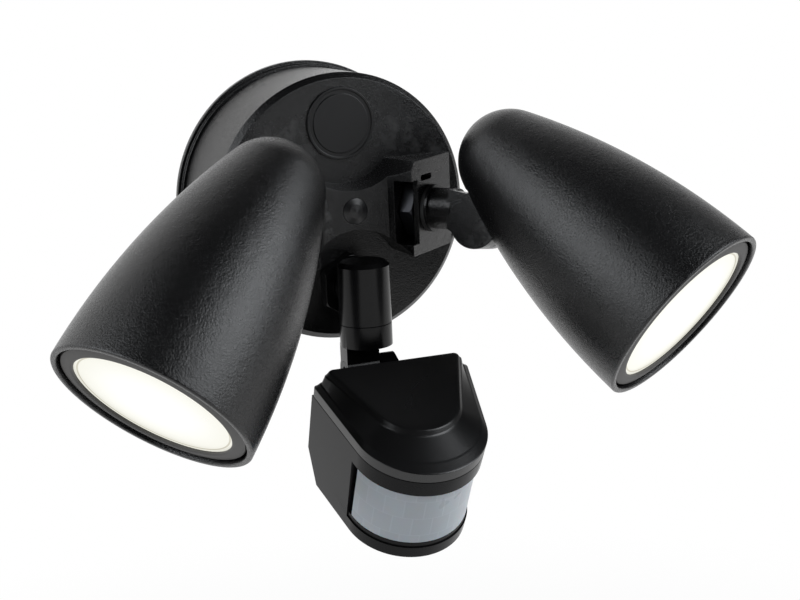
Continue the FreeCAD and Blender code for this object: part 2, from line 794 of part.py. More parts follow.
def make_head(prefix, side, frame, tilt, reach):
    pivot = frame + " * " + step(reach, 0, 0 - pivot_drop, "Y", 180 - tilt)
    mouth = pivot + " * " + step(0 - pivot_arm, side * head_offset, pivot_station)
    shell = Piece(prefix + "_head_shell")
    shell.turn("Revolution", "front", [bullet(0)])
    shell.pad("front", 0 - lug_half, [outline(
        (core_radius, 0 - pivot_station - lug_radius), (pivot_arm, 0 - pivot_station - lug_radius),
        (pivot_arm, lug_radius - pivot_station, pivot_arm, 0 - pivot_station),
        (core_radius, lug_radius - pivot_station))], lug_thickness)
    core_back = core_end - head_length
    wedge_foot = 0 - pivot_station - neck_back * steep_sin - neck_side * steep_cos
    shell.turn("Groove", "front", [outline(
        (room_at(as_size(0)), 0), (room_at(0 - core_start), 0 - core_start, curve_x, curve_z),
        (core_radius, 0 - core_start), (core_radius, core_back), (0, core_back), (0, 0))])
    height, length = layer(side, lug_half, lug_half + lug_thickness + lug_gap * 2)
    shell.cut("front", height, [circle(pivot_arm, 0 - pivot_station, slot_radius)], length)
    shell.cut("front", height, [outline(
        (pivot_arm, 0 - pivot_station),
        (pivot_arm - slot_radius * steep_sin, 0 - pivot_station - slot_radius * steep_cos),
        (pivot_arm + neck_back * steep_cos - neck_side * steep_sin, wedge_foot),
        (mouth_radius, wedge_foot), (mouth_radius, slot_top), (pivot_arm, slot_top))], length)
    shell.turn("Groove", "front", [outline((mouth_radius - mouth_lip, 0), (mouth_radius + mouth_lip, 0),
                                           (mouth_radius + mouth_lip, 0 - mouth_lip * 2))])
    shell.cut("front", 0 - lug_half, [circle(pivot_arm, 0 - pivot_station, pivot_bolt_radius + turn_play)],
              lug_thickness)
    low = lug_inner + lug_thickness - pivot_head_height
    height, length = layer(0 - side, low - fit_gap - head_offset, mouth_radius)
    shell.cut("front", height, [circle(pivot_arm, 0 - pivot_station, pivot_bolt_head + seat_gap)], length)
    keep(shell, mouth)

    bolt = Piece(prefix + "_pivot_bolt")
    tip = lug_inner + pivot_bolt_grip
    shaft_length = tip + low
    start = tip if side < 0 else low
    bolt.pad("front", 0 - start, [circle(reach, 0 - pivot_drop, pivot_bolt_radius)], shaft_length)
    height, length = layer(0 - side, low, low + pivot_head_height)
    bolt.pad("front", height, [circle(reach, 0 - pivot_drop, pivot_bolt_head)], length)
    half = pivot_head_height / 2
    socket_low = low + half
    height, length = layer(0 - side, socket_low, socket_low + half)
    bolt.cut("front", height, [hexagon(reach, 0 - pivot_drop, pivot_bolt_socket)], length)
    keep(bolt, frame)

    bezel = Piece(prefix + "_bezel")
    bezel.turn("Revolution", "front", [outline(
        (room_at(bezel_front) - fit_gap, bezel_front), (bezel_outer, bezel_back),
        (bezel_outer - bezel_wall, bezel_back), (bezel_outer - bezel_wall, bezel_front - bezel_wall),
        (bezel_opening, bezel_front - bezel_wall), (bezel_opening, bezel_front - bezel_wall / 2),
        (bezel_opening + bezel_wall / 2, bezel_front))])
    keep(bezel, mouth)
    keep(disc(prefix + "_diffuser", diffuser_outer, gasket_front, diffuser_front), mouth)
    seal = Piece(prefix + "_lens_gasket")
    seal.pad("top", gasket_front - ring_gasket, [circle(0, 0, diffuser_outer),
                                                 circle(0, 0, diffuser_outer - ring_gasket * 2)], ring_gasket)
    keep(seal, mouth)
    plate_radius = room_at(plate_back) - fit_gap
    keep(disc(prefix + "_heat_plate", plate_radius, plate_back, plate_front), mouth)
    keep(disc(prefix + "_led_board", plate_radius * board_share, plate_front, board_front), mouth)
    chips = Piece(prefix + "_led_chips")
    chips.body.AllowCompound = True
    chip_ring = plate_radius * chip_ring_share
    half_chip = chip_width / 2
    squares = []
    for place in range(chip_count):
        angle = 2 * math.pi * place / chip_count
        across = chip_ring * math.cos(angle)
        along = chip_ring * math.sin(angle)
        squares.append(box_outline(across - half_chip, across + half_chip,
                                   along - half_chip, along + half_chip))
    chips.pad("top", board_front, squares, chip_height)
    keep(chips, mouth)


for prefix, side, swivel, tilt, reach in (("left", -1, left_swivel, left_tilt, left_reach),
                                          ("right", 1, right_swivel, right_tilt, right_reach)):
    frame = make_arm(prefix, side, swivel, reach)
    make_head(prefix, side, frame, tilt, reach)

# ---- sensor stem ----
stem_frame = step(0, 0 - stem_depth, 0)
stem = Piece("sensor_stem")
stem.pad("top", 0 - stem_bottom, [circle(0, 0, stem_radius)], stem_bottom - stem_top)
crown_outer = stem_radius + stem_crown
stem.turn("Groove", "front", [outline((stem_radius - stem_crown, 0 - stem_top), (crown_outer, 0 - stem_top),
                                      (crown_outer, 0 - stem_top - stem_crown * 2))])
stub_length = stem_depth - housing_depth + stub_tail
stem.pad("front", 0 - stub_length, [circle(0, 0 - stub_height, stub_radius)], stub_length)
stem.cut("front", 0 - stub_length, [circle(0, 0 - stub_height, stub_bore)], stub_length)
stem.cut("top", 0 - stem_bottom, [circle(0, 0, stem_bore)], stem_bottom - stub_height - stub_bore / 2)
keep(stem, stem_frame)

# ---- pan collar with its tongue and bolt ----
pan_frame = step(0, 0 - stem_depth, 0, "Z", 0 - sensor_pan)
collar = Piece("sensor_collar")
collar_top = 0 - stem_bottom - seam_gap
collar_bottom = collar_top - collar_height
hinge_z = 0 - hinge_height
half_tongue = tongue_thickness / 2
tongue_width = tongue_left + tongue_right
collar.pad("top", collar_bottom, [circle(0, 0, stem_radius)], collar_height)
collar.pad("top", collar_top, [circle(0, 0, stem_bore - turn_play)], spigot_length + seam_gap)
tongue = box_outline(0 - half_tongue, half_tongue, hinge_z, collar_bottom + cut_past)
collar.pad("side", 0 - tongue_left, [tongue], tongue_width)
collar.pad("side", 0 - tongue_left, [circle(0, hinge_z, hinge_radius)], tongue_width)
collar.cut("side", 0 - tongue_left, [circle(0, hinge_z, hinge_bolt_radius + thread_clearance)], tongue_width)
collar.cut("side", 0 - tongue_left, [circle(0, hinge_z, hinge_bolt_head + fit_gap)],
           hinge_head_height + fit_gap)
keep(collar, pan_frame)

tilt_bolt = Piece("sensor_tilt_bolt")
head_end = hinge_head_height - tongue_left
bolt_tip = tongue_right + hinge_bolt_grip
tilt_bolt.pad("side", 0 - tongue_left, [circle(0, hinge_z, hinge_bolt_head)], hinge_head_height)
tilt_bolt.pad("side", head_end, [circle(0, hinge_z, hinge_bolt_radius)], bolt_tip - head_end)
tilt_bolt.cut("side", 0 - tongue_left, [hexagon(0, hinge_z, hinge_bolt_socket)], hinge_head_height / 2)
keep(tilt_bolt, pan_frame)

# ---- sensor housing ----
sensor_frame = pan_frame + " * " + step(0, 0, hinge_z, "X", sensor_tilt)
plan_cos = cosine(plan_angle)
plan_sin = sine(plan_angle)
side_rate = sine(side_draft) / cosine(side_draft)
front_rate = sine(front_draft) / cosine(front_draft)


def half_width(radius, reach, station):
    """Half the width of the plan at a station ahead of its back."""
    return (radius + plan_sin * (reach - radius - station)) / plan_cos


def u_steps(radius, reach, rear):
    """Steps along straight tapering sides and a round front, from the left rear corner to the right one."""
    half = half_width(radius, reach, rear)
    side_x = radius * plan_cos
    centre_y = radius - reach - back_gap
    side_y = centre_y - radius * plan_sin
    rear_y = 0 - back_gap - rear
    return [(0 - half, rear_y), (0 - side_x, side_y), (side_x, side_y, 0, centre_y), (half, rear_y)]


def drafted(rise, inset):
    """Radius and reach of the head's plan at a rise over its seam, with an inset for walls."""
    return sensor_round + rise * side_rate - inset, sensor_reach + rise * front_rate - inset


def sensor_plan(rise, inset=0, rear=None):
    radius, reach = drafted(rise, inset)
    return outline(*u_steps(radius, reach, as_size(inset) if rear is None else rear))


def level(rise, inset=0, rear=None):
    """One loft section: its height in the head's frame and its plan."""
    return seam_rise + rise, sensor_plan(as_size(rise), inset, rear)


bottom = 0 - body_height
rim_top = bottom + rim_height
window_low = 0 - lens_bottom
window_high = 0 - lens_top
body = Piece("sensor_housing")
body.loft("AdditiveLoft", [level(bottom), level(as_size(0))])
body.loft("SubtractiveLoft", [level(bottom + sensor_wall, sensor_wall), level(as_size(0), sensor_wall)])
wide = sensor_reach * 2
window_rear = 0 - back_gap - lens_back
body.cut("top", seam_rise + window_low, [box_outline(0 - wide, wide, window_rear - wide, window_rear)],
         lens_bottom - lens_top)
groove_steps = u_steps(*drafted(window_low, rim_step), lens_back)
body.cut("top", seam_rise + rim_top, [outline((0 - wide, window_rear), *groove_steps, (wide, window_rear),
                                              (wide, window_rear - wide), (0 - wide, window_rear - wide))],
         window_low - rim_top)
post_rear = lens_back - post_overlap
post_front = lens_back + lens_side_gap + post_overlap
post_face = lens_inset + lens_thickness + fit_gap


def post_corner(side, inset, station):
    """A corner of the window post: across at an inset from the side face, along at a station."""
    return side * half_width(*drafted(window_low, inset), station), 0 - back_gap - station


post_inner = post_face + post_width
for side in (-1, 1):
    body.pad("top", seam_rise + window_low - cut_past, [outline(
        post_corner(side, sensor_wall / 2, post_rear), post_corner(side, sensor_wall / 2, lens_back),
        post_corner(side, post_face, lens_back), post_corner(side, post_face, post_front),
        post_corner(side, post_inner, post_front), post_corner(side, post_inner, post_rear))],
        lens_bottom - lens_top + cut_past * 2)
heel_y = 0 - back_gap
heel_z = seam_rise + bottom
heel_rise = heel_height / heel_length


def heel_block(rise):
    """One section of the block behind the sloping heel, inside the side walls."""
    front = heel_length + heel_land
    radius, reach = drafted(as_size(rise), sensor_wall / 2)
    rear_half = half_width(radius, reach, sensor_wall / 2)
    front_half = half_width(radius, reach, front)
    rear_y = heel_y - sensor_wall / 2
    return seam_rise + rise, outline((0 - rear_half, rear_y), (0 - front_half, heel_y - front),
                                     (front_half, heel_y - front), (rear_half, rear_y))


heel_low = heel_z - cut_past
slope_foot = heel_y - heel_length - cut_past / heel_rise
slope_head = heel_z + heel_height + heel_rise * cut_past
body.loft("AdditiveLoft", [heel_block(bottom + sensor_wall / 2),
                           heel_block(bottom + heel_height + heel_land)])
body.cut("side", 0 - wide, [outline((heel_y + cut_past, slope_head), (heel_y + cut_past, heel_low),
                                    (slope_foot, heel_low))], wide * 2)
room = half_width(*drafted(bottom, heel_side_wall), heel_length + heel_land)
room_top = heel_z + heel_height + heel_room_rise
room_floor = heel_z + sensor_wall
room_front = heel_y - heel_length - heel_room_length
room_slope = heel_z + heel_height + sensor_wall
body.cut("side", 0 - room, [outline(
    (heel_y - sensor_wall, room_top), (heel_y - sensor_wall, room_slope),
    (heel_y - heel_length - sensor_wall, room_floor), (room_front, room_floor), (room_front, room_top))],
    room * 2)
ear_inner = tongue_right + seat_gap
ear_length = ear_width - seat_gap
body.pad("side", ear_inner, [circle(0, 0, hinge_radius)], ear_length)
ear_root = heel_y - cut_past
body.pad("side", ear_inner, [outline((0, 0 - hinge_radius), (0, hinge_radius), (ear_root, hinge_radius),
                                     (ear_root, 0 - hinge_radius * 2))], ear_length)
body.cut("side", ear_inner, [circle(0, 0, hinge_bolt_radius + turn_play)], ear_length)
dial_y = 0 - back_gap - dial_station
dial_places = [0 - dial_spacing, as_size(0), dial_spacing]
body.cut("top", heel_z, [circle(x, dial_y, dial_shaft + turn_play) for x in dial_places], sensor_wall)
keep(body, sensor_frame)

# ---- sensor cap: band, bevel, sloping roof and raised crest ----
cap = Piece("sensor_cap")
bevel_top = cap_band + bevel_height
flush = as_size(0)
bevel_plan = outline(*u_steps(bevel_round, bevel_reach, flush))
crest_plan = outline(*u_steps(crest_round, crest_reach, flush))
crest_top = outline(*u_steps(crest_round - crest_slope, crest_reach - crest_slope, flush))
cap.loft("AdditiveLoft", [
    level(fit_gap), level(cap_band), (seam_rise + bevel_top, bevel_plan),
    (seam_rise + roof_height, crest_plan), (seam_rise + roof_height + crest_height, crest_top)])
roof_room = outline(*u_steps(crest_round - sensor_wall, crest_reach - roof_back_wall, sensor_wall))
cap.loft("SubtractiveLoft", [level(fit_gap, sensor_wall), level(cap_band - roof_thickness, sensor_wall),
                             (seam_rise + roof_height - roof_thickness, roof_room)])
skirt_inset = sensor_wall + fit_gap
cap.pad("top", seam_rise - cap_skirt, [sensor_plan(0 - cap_skirt, skirt_inset),
                                       sensor_plan(0 - cap_skirt, skirt_inset + sensor_wall)],
        cap_skirt + cap_band + cut_past)
keep(cap, sensor_frame)

# ---- sensor lens, board, detector and dials ----
lens = Piece("sensor_lens")
lens_low = window_low + fit_gap
lens_high = window_high - fit_gap
lens_rear = lens_back + lens_side_gap
lens_inner = lens_inset + lens_thickness
lens.loft("AdditiveLoft", [level(lens_low, lens_inset, lens_rear), level(lens_high, lens_inset, lens_rear)])
open_rear = lens_rear - cut_past
lens.loft("SubtractiveLoft", [level(lens_low, lens_inner, open_rear),
                              level(lens_high, lens_inner, open_rear)])
keep(lens, sensor_frame)

board = Piece("sensor_board")
board_depth = back_gap + board_station
board_low = heel_z + sensor_wall + seat_gap
board.pad("front", board_depth, [box_outline(0 - board_width / 2, board_width / 2, board_low,
                                             seam_rise - cap_skirt - seat_gap)], board_thickness)
keep(board, sensor_frame)
detector = Piece("motion_detector")
detector_height = seam_rise + (window_low + window_high) / 2
detector.pad("front", board_depth + board_thickness, [circle(0, detector_height, detector_radius)],
             detector_length)
keep(detector, sensor_frame)

for name, x in zip(("range_dial", "time_dial", "light_dial"), dial_places):
    dial = Piece(name)
    dial.pad("top", heel_z - dial_height, [circle(x, dial_y, dial_radius)], dial_height - fit_gap)
    dial.pad("top", heel_z - fit_gap, [circle(x, dial_y, dial_shaft)], sensor_wall + fit_gap * 2)
    slot_end = dial_radius + cut_past
    dial.cut("top", heel_z - dial_height, [box_outline(x - slot_end, x + slot_end, dial_y - dial_slot / 2,
                                                       dial_y + dial_slot / 2)], dial_height / 2)
    keep(dial, sensor_frame)

# ---- check and write ----
doc.recompute()
for item in doc.Objects:
    if "Invalid" in item.State or "Error" in item.State:
        raise RuntimeError("not built: %s %s" % (item.Name, item.State))
os.makedirs("parts", exist_ok=True)
for piece in pieces:
    shape = piece.Shape
    if shape.isNull() or not shape.isValid() or not shape.Solids:
        raise RuntimeError("bad shape: " + piece.Label)
    shape.exportStep(os.path.join("parts", piece.Label + ".step"))
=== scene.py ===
import math

import bmesh
import bpy
import numpy as np
from bpy.props import FloatProperty, FloatVectorProperty, PointerProperty
from mathutils import Matrix, Vector


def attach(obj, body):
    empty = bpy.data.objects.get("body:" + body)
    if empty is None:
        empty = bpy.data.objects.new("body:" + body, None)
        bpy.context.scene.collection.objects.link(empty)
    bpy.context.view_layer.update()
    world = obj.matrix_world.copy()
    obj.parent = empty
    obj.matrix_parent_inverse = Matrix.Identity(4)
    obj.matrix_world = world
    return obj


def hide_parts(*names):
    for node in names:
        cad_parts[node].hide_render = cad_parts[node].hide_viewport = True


bl_info = {
    "name": "Security light dressing",
    "version": (1, 0, 0),
    "blender": (4, 5, 0),
    "location": "View3D > Sidebar > Security light",
    "description": "Builds the visible surfaces and finishes of a twin-head motion sensor light",
    "category": "Object",
}

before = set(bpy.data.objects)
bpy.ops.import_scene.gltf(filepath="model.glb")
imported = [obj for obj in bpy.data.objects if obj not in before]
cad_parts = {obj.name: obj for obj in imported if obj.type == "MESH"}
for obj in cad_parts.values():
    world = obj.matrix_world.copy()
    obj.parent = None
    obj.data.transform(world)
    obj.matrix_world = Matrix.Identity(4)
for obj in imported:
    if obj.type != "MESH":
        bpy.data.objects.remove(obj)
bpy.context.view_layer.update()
MM = 0.001

# ---- places on the lamp, in millimetres and degrees ----
SIDE = {"left": -1, "right": 1}
# Where an arm leaves its boss, and how far the boss slants.
ARM_SIDE, ARM_DEPTH, ARM_DROP, ARM_CANT = 33.7, 57.6, 2.2, 55.0
# How far out and how far below the arm's axis the knuckle's bolt lies, and how each head stands
# at rest.
PIVOT_REACH = {"left": 20.4, "right": 31.0}
PIVOT_DROP = 5.4
SWIVEL = {"left": 25.5, "right": -10.6}
TILT = {"left": 40.5, "right": 53.7}
# The bolt seen from the head: off its axis, behind its mouth, and the head's shift along the bolt.
PIVOT_ARM, PIVOT_STATION, HEAD_OFFSET = 28.0, 96.0, 4.45
LUG_HALF, LUG_RADIUS, LUG_ROOT, LUG_EDGE = 4.3, 11.6, 16.0, 0.8
# The slot for the arm's knuckle, and the arm's neck at the steepest tilt.
SLOT_RADIUS, SLOT_FAR, SLOT_OUT, STEEPEST = 12.2, 13.5, 43.0, 61.0
NECK_BACK, NECK_SIDE = 13.4, 14.6
# The way in for the bolt's head.
BOLT_ROOM, BOLT_SEAT, BOLT_WAY_END = 5.5, 0.55, 40.0
# The sensor's stem and hinge, and how the sensor stands at rest.
STEM_DEPTH, HINGE_HEIGHT = 65.6, 69.7
SENSOR_PAN, SENSOR_TILT = 4.2, 26.1

# ---- meshing, in degrees and millimetres ----
SHARP_ANGLE, ROUNDED_SHARP_ANGLE = 35, 40  # faces that meet at more than this stay sharp
FLAT_ANGLE, CORNER_ANGLE = 1.0, 28  # faces to join in a copy of a CAD node, and its edges to round
COAT_GRAIN = 1300.0  # how fine the powder coat's noise is, in waves a metre
FACET_ROWS, FACET_COLUMNS = 3.0, 9.0  # of the sensor's lens


def turn(axis, degrees):
    """A rotation about an axis."""
    return Matrix.Rotation(math.radians(degrees), 4, axis)


def shift(x, y, z):
    """A move."""
    return Matrix.Translation((x, y, z))


def arm_frame(side):
    """X out along the arm, Y along the pivot bolt."""
    sign = SIDE[side]
    heading = -ARM_CANT if sign > 0 else 180 + ARM_CANT
    boss = shift(sign * ARM_SIDE, -ARM_DEPTH, -ARM_DROP) @ turn("Z", heading)
    return boss @ turn("X", sign * SWIVEL[side])


def mouth_frame(side):
    """Z along the head's axis, out of its mouth, with the mouth at 0."""
    pivot = arm_frame(side) @ shift(PIVOT_REACH[side], 0, -PIVOT_DROP) @ turn("Y", 180 - TILT[side])
    return pivot @ shift(-PIVOT_ARM, SIDE[side] * HEAD_OFFSET, PIVOT_STATION)


def sensor_frame():
    """X across the sensor, -Y out of its front, Z up through its cap, from the hinge."""
    pan = shift(0, -STEM_DEPTH, 0) @ turn("Z", -SENSOR_PAN)
    return pan @ shift(0, 0, -HINGE_HEIGHT) @ turn("X", SENSOR_TILT)


# ---- meshes ----
def place(points, matrix):
    """Points in millimetres carried by a matrix into the lamp's frame, in metres."""
    table = np.array(matrix)
    flat = points.reshape(-1, 3) @ table[:3, :3].T + table[:3, 3]
    return flat.reshape(points.shape) * MM


def arc(centre, radius, start, end, count):
    """Points on a circle: centre plus radius times cosine and sine of even angles, in degrees."""
    angles = np.radians(np.linspace(start, end, count))
    across, along = centre[0] + radius * np.cos(angles), centre[1] + radius * np.sin(angles)
    return np.stack([across, along], axis=1)


def faces_of(rows, columns, wrap):
    """Four corners of each cell of a grid of points; with wrap, the last column meets the first."""
    index = np.arange(rows * columns).reshape(rows, columns)
    if wrap:
        index = np.concatenate([index, index[:, :1]], axis=1)
    corners = [index[:-1, :-1], index[:-1, 1:], index[1:, 1:], index[1:, :-1]]
    return np.stack(corners, axis=-1).reshape(-1, 4)


def surface(name, points, wrap=True, close=True, sharp=SHARP_ANGLE, uv=None):
    """An object from a grid of points: doubles merged, open ends filled, faces turned outwards."""
    rows, columns = points.shape[:2]
    mesh = bpy.data.meshes.new(name)
    mesh.from_pydata(points.reshape(-1, 3).tolist(), [], faces_of(rows, columns, wrap).tolist())
    if uv is not None:
        layer = mesh.uv_layers.new(name="UVMap")
        corners = np.empty(len(mesh.loops), dtype=np.int32)
        mesh.loops.foreach_get("vertex_index", corners)
        layer.data.foreach_set("uv", uv.reshape(-1, 2)[corners].ravel())
    shape = bmesh.new()
    shape.from_mesh(mesh)
    bmesh.ops.remove_doubles(shape, verts=shape.verts, dist=1e-7)
    if close:
        rims = [edge for edge in shape.edges if edge.is_boundary]
        bmesh.ops.holes_fill(shape, edges=rims, sides=0)
    bmesh.ops.recalc_face_normals(shape, faces=shape.faces)
    return finish_mesh(name, mesh, shape, sharp)


def finish_mesh(name, mesh, shape, sharp):
    """An object from an edited mesh, shaded smooth but for edges sharper than an angle."""
    shape.to_mesh(mesh)
    shape.free()
    mesh.shade_smooth()
    mesh.set_sharp_from_angle(angle=math.radians(sharp))
    piece = bpy.data.objects.new(name, mesh)
    bpy.context.scene.collection.objects.link(piece)
    return piece


def revolve(name, profile, matrix, count=160, **options):
    """A profile of (radius, station) carried round the Z axis.
    x = radius times the cosine of the angle, y = radius times its sine, z = station."""
    angles = np.linspace(0, 2 * np.pi, count, endpoint=False)
    radius, station = profile[:, :1], profile[:, 1:]
    points = np.stack([radius * np.cos(angles), radius * np.sin(angles), station + 0 * angles],
                      axis=-1)
    return surface(name, place(points, matrix), **options)


def slab(name, outline, low, high, matrix, edge):
    """An outline (x, z) carried along Y between two stations, with rounded rims: at an edge radius
    times one minus the cosine of an angle from either end, it is drawn in by the radius times one
    minus the sine."""
    turns = np.radians(np.linspace(0, 90, 5))
    inset = edge * (1 - np.sin(turns))
    rise = edge * (1 - np.cos(turns))
    middle = outline.mean(axis=0)
    reach = np.linalg.norm(outline - middle, axis=1, keepdims=True)
    rings = []
    for drawn, station in list(zip(inset, low + rise)) + list(zip(inset[::-1], high - rise[::-1])):
        ring = middle + (outline - middle) * (1 - drawn / reach)
        rings.append(np.stack([ring[:, 0], np.full(len(ring), station), ring[:, 1]], axis=1))
    return surface(name, place(np.array(rings), matrix))


def carve(piece, *cutters):
    """Take closed cutters out of a piece, keep the result as its mesh and remove the cutters."""
    for cutter in cutters:
        modifier = piece.modifiers.new("carve", "BOOLEAN")
        modifier.object, modifier.operation, modifier.solver = cutter, "DIFFERENCE", "EXACT"
    bpy.context.view_layer.update()
    evaluated = piece.evaluated_get(bpy.context.evaluated_depsgraph_get())
    mesh = bpy.data.meshes.new_from_object(evaluated)
    piece.modifiers.clear()
    piece.data = mesh
    mesh.shade_smooth()
    mesh.set_sharp_from_angle(angle=math.radians(SHARP_ANGLE))
    for cutter in cutters:
        bpy.data.objects.remove(cutter)


def rounded(name, node, width, segments=2):
    """A copy of a CAD node with its doubles merged, flat faces joined and edges rounded."""
    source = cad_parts[node].data
    mesh = bpy.data.meshes.new(name)
    shape = bmesh.new()
    shape.from_mesh(source)
    bmesh.ops.remove_doubles(shape, verts=shape.verts, dist=2e-6)
    flat, corner = math.radians(FLAT_ANGLE), math.radians(CORNER_ANGLE)
    bmesh.ops.dissolve_limit(shape, angle_limit=flat, verts=shape.verts, edges=shape.edges)
    corners = [edge for edge in shape.edges
               if edge.is_manifold and edge.calc_face_angle(0) > corner]
    bmesh.ops.bevel(shape, geom=corners, offset=width * MM, segments=segments, profile=0.5,
                    affect="EDGES", clamp_overlap=True)
    piece = finish_mesh(name, mesh, shape, ROUNDED_SHARP_ANGLE)
    piece.modifiers.new("weighted normals", "WEIGHTED_NORMAL").keep_sharp = True
    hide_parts(node)
    return piece


# ---- materials: noise scales are waves a metre, bump heights metres ----
class Value:
    """A shader socket that takes part in Python sums and products through Math nodes."""

    def __init__(self, shader, socket):
        self.shader = shader
        self.socket = socket

    def maths(self, operation, *others):
        """A Math node that takes this value first and the others after it."""
        return self.shader.node("ShaderNodeMath", {"operation": operation}, [self, *others])

    def __add__(self, other):
        return self.maths("ADD", other)

    def __sub__(self, other):
        return self.maths("SUBTRACT", other)

    def __mul__(self, other):
        return self.maths("MULTIPLY", other)

    def __rsub__(self, other):
        return self.shader.node("ShaderNodeMath", {"operation": "SUBTRACT"}, [other, self])

    __radd__ = __add__
    __rmul__ = __mul__

    def smooth(self, low, high):
        """0 under low, 1 over high, and a smooth step between them."""
        settings = {"interpolation_type": "SMOOTHSTEP"}
        return self.shader.node("ShaderNodeMapRange", settings, [self, low, high])


class Shader:
    """A material, or another node tree, and the nodes that are added to it."""

    def __init__(self, name="", tree=None):
        if tree is None:
            self.material = bpy.data.materials.new(name)
            self.material.use_nodes = True
            tree = self.material.node_tree
            self.surface = next(node for node in tree.nodes if node.type == "BSDF_PRINCIPLED")
        self.tree = tree

    def node(self, kind, settings=None, inputs=(), output=0):
        """Add one node: its settings, then the values or links of its inputs, by place or name."""
        made = self.tree.nodes.new(kind)
        for key, setting in (settings or {}).items():
            setattr(made, key, setting)
        pairs = inputs.items() if isinstance(inputs, dict) else enumerate(inputs)
        for key, value in pairs:
            self.feed(made.inputs[key], value)
        return Value(self, made.outputs[output])

    def feed(self, socket, value):
        """Link a value to a socket, or set the socket to a plain number or colour."""
        if isinstance(value, Value):
            self.tree.links.new(value.socket, socket)
        else:
            socket.default_value = value

    def coat(self, **inputs):
        """Set sockets of the surface, by name with underscores for spaces."""
        for key, value in inputs.items():
            self.feed(self.surface.inputs[key.replace("_", " ")], value)
        return self.material

    def where(self):
        """The piece's own coordinates, in metres."""
        return self.node("ShaderNodeTexCoord", output="Object")

    def on_map(self, axis):
        """The first or second coordinate on the piece's own map."""
        point = self.node("ShaderNodeUVMap", {"uv_map": "UVMap"})
        return self.node("ShaderNodeSeparateXYZ", {}, [point], output=axis)

    def noise(self, scale, detail=2.0, roughness=0.5, where=None):
        """Cloudy noise from 0 to 1, at so many waves a metre."""
        return self.node("ShaderNodeTexNoise", {"noise_dimensions": "3D"},
                         {"Vector": where or self.where(), "Scale": scale, "Detail": detail,
                          "Roughness": roughness})

    def mix(self, factor, first, second):
        """A colour between two others."""
        inputs = {0: factor, 6: first, 7: second}
        return self.node("ShaderNodeMix", {"data_type": "RGBA"}, inputs, output=2)

    def bump(self, height, distance, strength=1.0, normal=None):
        """The surface's normal, tilted by the slope of a height."""
        inputs = {"Height": height, "Distance": distance, "Strength": strength}
        if normal is not None:
            inputs["Normal"] = normal
        return self.node("ShaderNodeBump", {}, inputs)

    def edges(self, low=0.52, high=0.62):
        """1 on convex edges and 0 elsewhere, from the mesh's own curvature."""
        return self.node("ShaderNodeNewGeometry", output="Pointiness").smooth(low, high)


def colour(values, factor=1.0):
    """Red, green and blue times a factor, opaque."""
    return tuple(channel * factor for channel in tuple(values)[:3]) + (1.0,)


def powder_coat(name, finish, depth, shine):
    """Baked powder coat: fine rounded grains over a slow orange peel, greyer on rubbed edges."""
    shader = Shader(name)
    tint, roughness = finish.coat_tint, finish.coat_roughness
    grains = shader.noise(COAT_GRAIN, 3.0, 0.62)
    peel = shader.noise(COAT_GRAIN * 0.16, 2.0)
    patches = shader.noise(18.0, 3.0)
    worn = shader.edges() * shader.noise(240.0, 2.0).smooth(0.35, 0.7)
    body = shader.mix(patches.smooth(0.3, 0.75), colour(tint, 0.85), colour(tint, 1.25))
    speckled = shader.mix(grains.smooth(0.52, 0.75) * 0.5, body, colour(tint, 1.8))
    waves = shader.bump(peel, depth * 2.5, 0.5)
    normal = shader.bump(grains.smooth(0.25, 0.75), depth, 0.85, waves)
    return shader.coat(Base_Color=shader.mix(worn * 0.35, speckled, colour((0.12, 0.12, 0.12))),
                       Roughness=patches * 0.1 + grains * 0.16 + (roughness - 0.13) - worn * 0.06,
                       Normal=normal, Specular_IOR_Level=shine)


def moulded(name, tint, roughness, depth=0.00003, shine=0.5):
    """Satin moulded plastic: spark-eroded grain, faint flow marks and a slightly polished edge."""
    shader = Shader(name)
    grain = shader.noise(2600.0, 2.0)
    flow = shader.noise(35.0, 4.0, 0.6)
    rubbed = shader.edges()
    body = shader.mix(flow.smooth(0.3, 0.7), colour(tint, 0.88), colour(tint, 1.15))
    return shader.coat(Base_Color=shader.mix(rubbed * 0.5, body, colour(tint, 2.4)),
                       Roughness=flow * 0.12 + grain * 0.08 + (roughness - 0.1) - rubbed * 0.08,
                       Normal=shader.bump(grain, depth, 0.6), Specular_IOR_Level=shine)


def bare_metal(name, tint, roughness, metallic=1.0):
    """Plated or machined metal: fine scratches along one way, with duller patches."""
    shader = Shader(name)
    stretched = shader.node("ShaderNodeMapping", {},
                            {"Vector": shader.where(), "Scale": (300.0, 4000.0, 900.0)})
    scratches = shader.noise(1.0, 3.0, 0.6, stretched)
    patches = shader.noise(60.0, 3.0)
    return shader.coat(Base_Color=shader.mix(patches, colour(tint, 0.75), colour(tint, 1.1)),
                       Roughness=scratches * 0.18 + patches * 0.12 + (roughness - 0.15),
                       Metallic=metallic, Normal=shader.bump(scratches, 0.00002, 0.5))


def rubber(name, tint=(0.018, 0.018, 0.018)):
    """Soft black rubber: dull, with a dusty bloom."""
    shader = Shader(name)
    bloom = shader.noise(120.0, 4.0, 0.65)
    dusty = shader.mix(bloom.smooth(0.45, 0.8), colour(tint), colour(tint, 2.5))
    return shader.coat(Base_Color=dusty, Roughness=bloom * 0.2 + 0.62,
                       Normal=shader.bump(shader.noise(1500.0, 2.0), 0.00004, 0.6))


